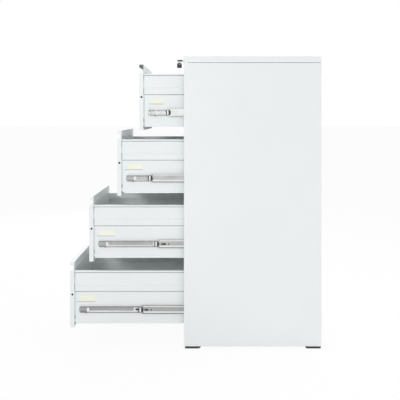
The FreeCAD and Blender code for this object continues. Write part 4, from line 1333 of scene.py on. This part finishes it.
@dataclass
class LockSet:
    """The lock, its keys and ring, and the bar that it moves. The grips count from the ring's wire."""

    wire_radius: float = 0.33
    ring_width: float = 1.3
    ring_points: int = 97
    turns_apart: float = 0.62
    first_turn: float = 0.6
    key_grip: tuple[Point, ...] = (
        (-10.2, -10.5), (-9.0, -11.7), (9.0, -11.7), (10.2, -10.5), (10.2, -1.1), (-3.6, -1.1),
        (-3.6, 1.1), (10.2, 1.1), (10.2, 8.5), (4.6, 12.9), (-4.6, 12.9), (-10.2, 8.5),
    )
    key_grip_depth: Point = (2.0, 3.1)
    spare_grip: tuple[Point, ...] = (
        (-11.6, -21.8), (9.6, -21.8), (9.6, -3.6), (1.6, 2.6), (-3.6, 2.6), (-11.6, -3.6),
    )
    spare_grip_depth: Point = (2.0, 2.9)
    eye_radius: float = 2.0

    def build(self, bench: Bench) -> None:
        """Dress the lock's nodes, and make the split ring and the keys' grips.

        Args:
            bench: the bench.
        """
        bench.dress("lock", "lock_barrel", "lock_plug")
        bench.dress("slide", "lock_cam", "lock_bar")
        bench.dress("key", "key")
        bench.dress("spare_key", "spare_key")
        low, high = extent("key_ring")
        self._ring(bench, low, high)
        self._key_grips(bench, (low.y + high.y) / 2)
        self._spare_grips(bench, (low.y + high.y) / 2, low.z + self.ring_width / 2)

    def _key_grips(self, bench: Bench, wire_y: float) -> None:
        """The moulded grips above and below the head of the key in the lock, slotted for the ring.

        Args:
            bench: the bench.
            wire_y: the place along the cabinet of the ring's wire.
        """
        low, high = extent("key")
        across, up = (low.x + high.x) / 2, (low.z + high.z) / 2
        outline = [(across + x, wire_y + y) for x, y in self.key_grip]
        near, far = self.key_grip_depth
        pads = [plate(outline, up + side * near, up + side * far, Plane.TOP) for side in (-1, 1)]
        bench.piece("key_grips", "lock", "grip", pads, 0.35)

    def _spare_grips(self, bench: Bench, wire_y: float, pivot: float) -> None:
        """The moulded grips on both faces of the spare key's head, with an eye for the ring.

        Args:
            bench: the bench.
            wire_y: the place along the cabinet of the ring's wire.
            pivot: the height of the wire from which the key hangs.
        """
        low, high = extent("spare_key")
        across = (low.x + high.x) / 2
        outline = [(wire_y + y, high.z + z) for y, z in self.spare_grip]
        eye = circle((wire_y, pivot), self.eye_radius, 20)
        near, far = self.spare_grip_depth
        faces = [(across + side * near, across + side * far) for side in (-1, 1)]
        pads = [plate(outline, *depth, Plane.SIDE, [eye]) for depth in faces]
        bench.piece("spare_key_grips", "spare_key", "grip", pads, 0.3)

    def _ring(self, bench: Bench, low: Vector, high: Vector) -> None:
        """The split ring: two turns of wire that lie side by side.

        Args:
            bench: the bench.
            low: the lowest corner of the ring's node.
            high: its highest corner.
        """
        middle = (low + high) / 2
        radius = (high.x - low.x - self.ring_width) / 2
        path = []
        for step in range(self.ring_points):
            share = step / (self.ring_points - 1)
            turn = 4 * math.pi * share + self.first_turn
            side = (share - 0.5) * self.turns_apart
            path.append(middle + Vector((radius * math.cos(turn), side, radius * math.sin(turn))))
        ring = bench.piece("split_ring", "ring", "ring", [wire(path, self.wire_radius)])
        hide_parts("key_ring")


# ---- the studio, in metres


@dataclass(frozen=True)
class Lamp:
    """One soft square lamp: its place, what it points at, the side of its face, and its power in watts."""

    name: str
    place: Colour
    target: Colour
    size: float
    power: float

    def hang(self) -> None:
        """Hang the lamp in the scene."""
        data = bpy.data.lights.new(self.name, "AREA")
        data.energy = self.power
        data.size = self.size
        lamp = bpy.data.objects.new(self.name, data)
        lamp.location = self.place
        aim = Vector(self.target) - Vector(self.place)
        lamp.rotation_euler = aim.to_track_quat("-Z", "Y").to_euler()
        bpy.context.scene.collection.objects.link(lamp)


@dataclass
class Studio:
    """A plain pale floor, soft light and the lens at the photograph's angle."""

    world_level: float = 0.63
    lamps: tuple[Lamp, ...] = (
        Lamp("lamp_above", (-0.3, 0.9, 3.0), (0.0, -0.5, 1.0), 2.0, 34.0),
        Lamp("lamp_front_right", (3.6, -1.8, 1.9), (0.0, -0.3, 0.6), 0.9, 35.0),
        Lamp("lamp_back_right", (3.0, 2.4, 0.6), (0.1, -0.5, 0.8), 1.8, 10.0),
        Lamp("lamp_left", (-3.0, -1.6, 2.0), (0.0, -0.3, 0.6), 2.0, 25.0),
    )
    floor_colour: Colour = (0.92, 0.92, 0.92)
    floor_reach: float = 60.0
    floor_drop: float = 0.0006
    eye: Colour = (2.730, -0.215, 1.045)
    turn: Colour = (90.0, 0.0, 90.0)
    lens: float = 49.9
    sensor: float = 36.0
    shift: Point = (-0.0125, -0.2075)

    def build(self) -> None:
        """Set the world, the floor, the lamps and the lens."""
        scene = bpy.context.scene
        scene.view_settings.view_transform = "Standard"
        scene.world = bpy.data.worlds.new("studio")
        scene.world.use_nodes = True
        board = Board(scene.world.node_tree)
        level = self.world_level + seen_by_lens(board) * (1.0 - self.world_level)
        light = board.add("ShaderNodeBackground", {}, {"Color": (1.0, 1.0, 1.0), "Strength": level})
        board.add("ShaderNodeOutputWorld", {}, {"Surface": light.outputs[0]})
        self._floor()
        for lamp in self.lamps:
            lamp.hang()
        self._camera()

    def _floor(self) -> None:
        """The floor, far wider than the view."""
        reach = self.floor_reach
        mesh = bpy.data.meshes.new("floor")
        corners = [(-reach, -reach, 0.0), (reach, -reach, 0.0), (reach, reach, 0.0), (-reach, reach, 0.0)]
        mesh.from_pydata(corners, [], [(0, 1, 2, 3)])
        mesh.materials.append(StudioFloor("studio_floor", self.floor_colour).make())
        floor = bpy.data.objects.new("floor", mesh)
        floor.location.z = -self.floor_drop
        bpy.context.scene.collection.objects.link(floor)

    def _camera(self) -> None:
        """The lens at the photograph's place."""
        data = bpy.data.cameras.new("lens")
        data.lens = self.lens
        data.sensor_width = self.sensor
        data.shift_x, data.shift_y = self.shift
        lens = bpy.data.objects.new("lens", data)
        lens.location = self.eye
        lens.rotation_euler = [math.radians(angle) for angle in self.turn]
        bpy.context.scene.collection.objects.link(lens)
        bpy.context.scene.camera = lens


@dataclass(frozen=True)
class Fittings:
    """What differs from drawer to drawer: the caps, the label and the slides' latch."""

    caps: str
    label: tuple[Row, ...]
    latch: tuple[Row, ...] = ()


FITTINGS = {
    1: Fittings("cap_grey", label_rows(55.0, 111.5, -176.0)),
    2: Fittings("cap_white", label_rows(46.0, 116.0, -177.0)),
    3: Fittings("cap_white", label_rows(46.0, 113.0, -180.5), (latch_row(17.0, 38.0, 50.5),)),
    4: Fittings("cap_white", label_rows(43.0, 113.0, -181.0), (latch_row(13.0, 29.0, 42.0),)),
}


def main() -> None:
    """Build the studio and the cabinet, piece by piece."""
    logging.basicConfig(level=logging.INFO, format="%(message)s")
    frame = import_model()
    bench = Bench(frame["nodes"], FinishRack())
    Studio().build()
    casing = Casing()
    casing.build(bench)
    for number in LEVELS:
        storey, fittings = Storey.read(number), FITTINGS[number]
        Drawer(storey, fittings.caps, fittings.label + DRAWER_ROWS).build(bench)
        Slide(storey, SLIDE_ROWS + fittings.latch).build(bench)
        casing.cage.build(bench, "outer", casing.body, storey, 0.0)
    LockSet().build(bench)
    log.info("%d pieces made", bench.pieces)


if __name__ == "__main__":
    main()
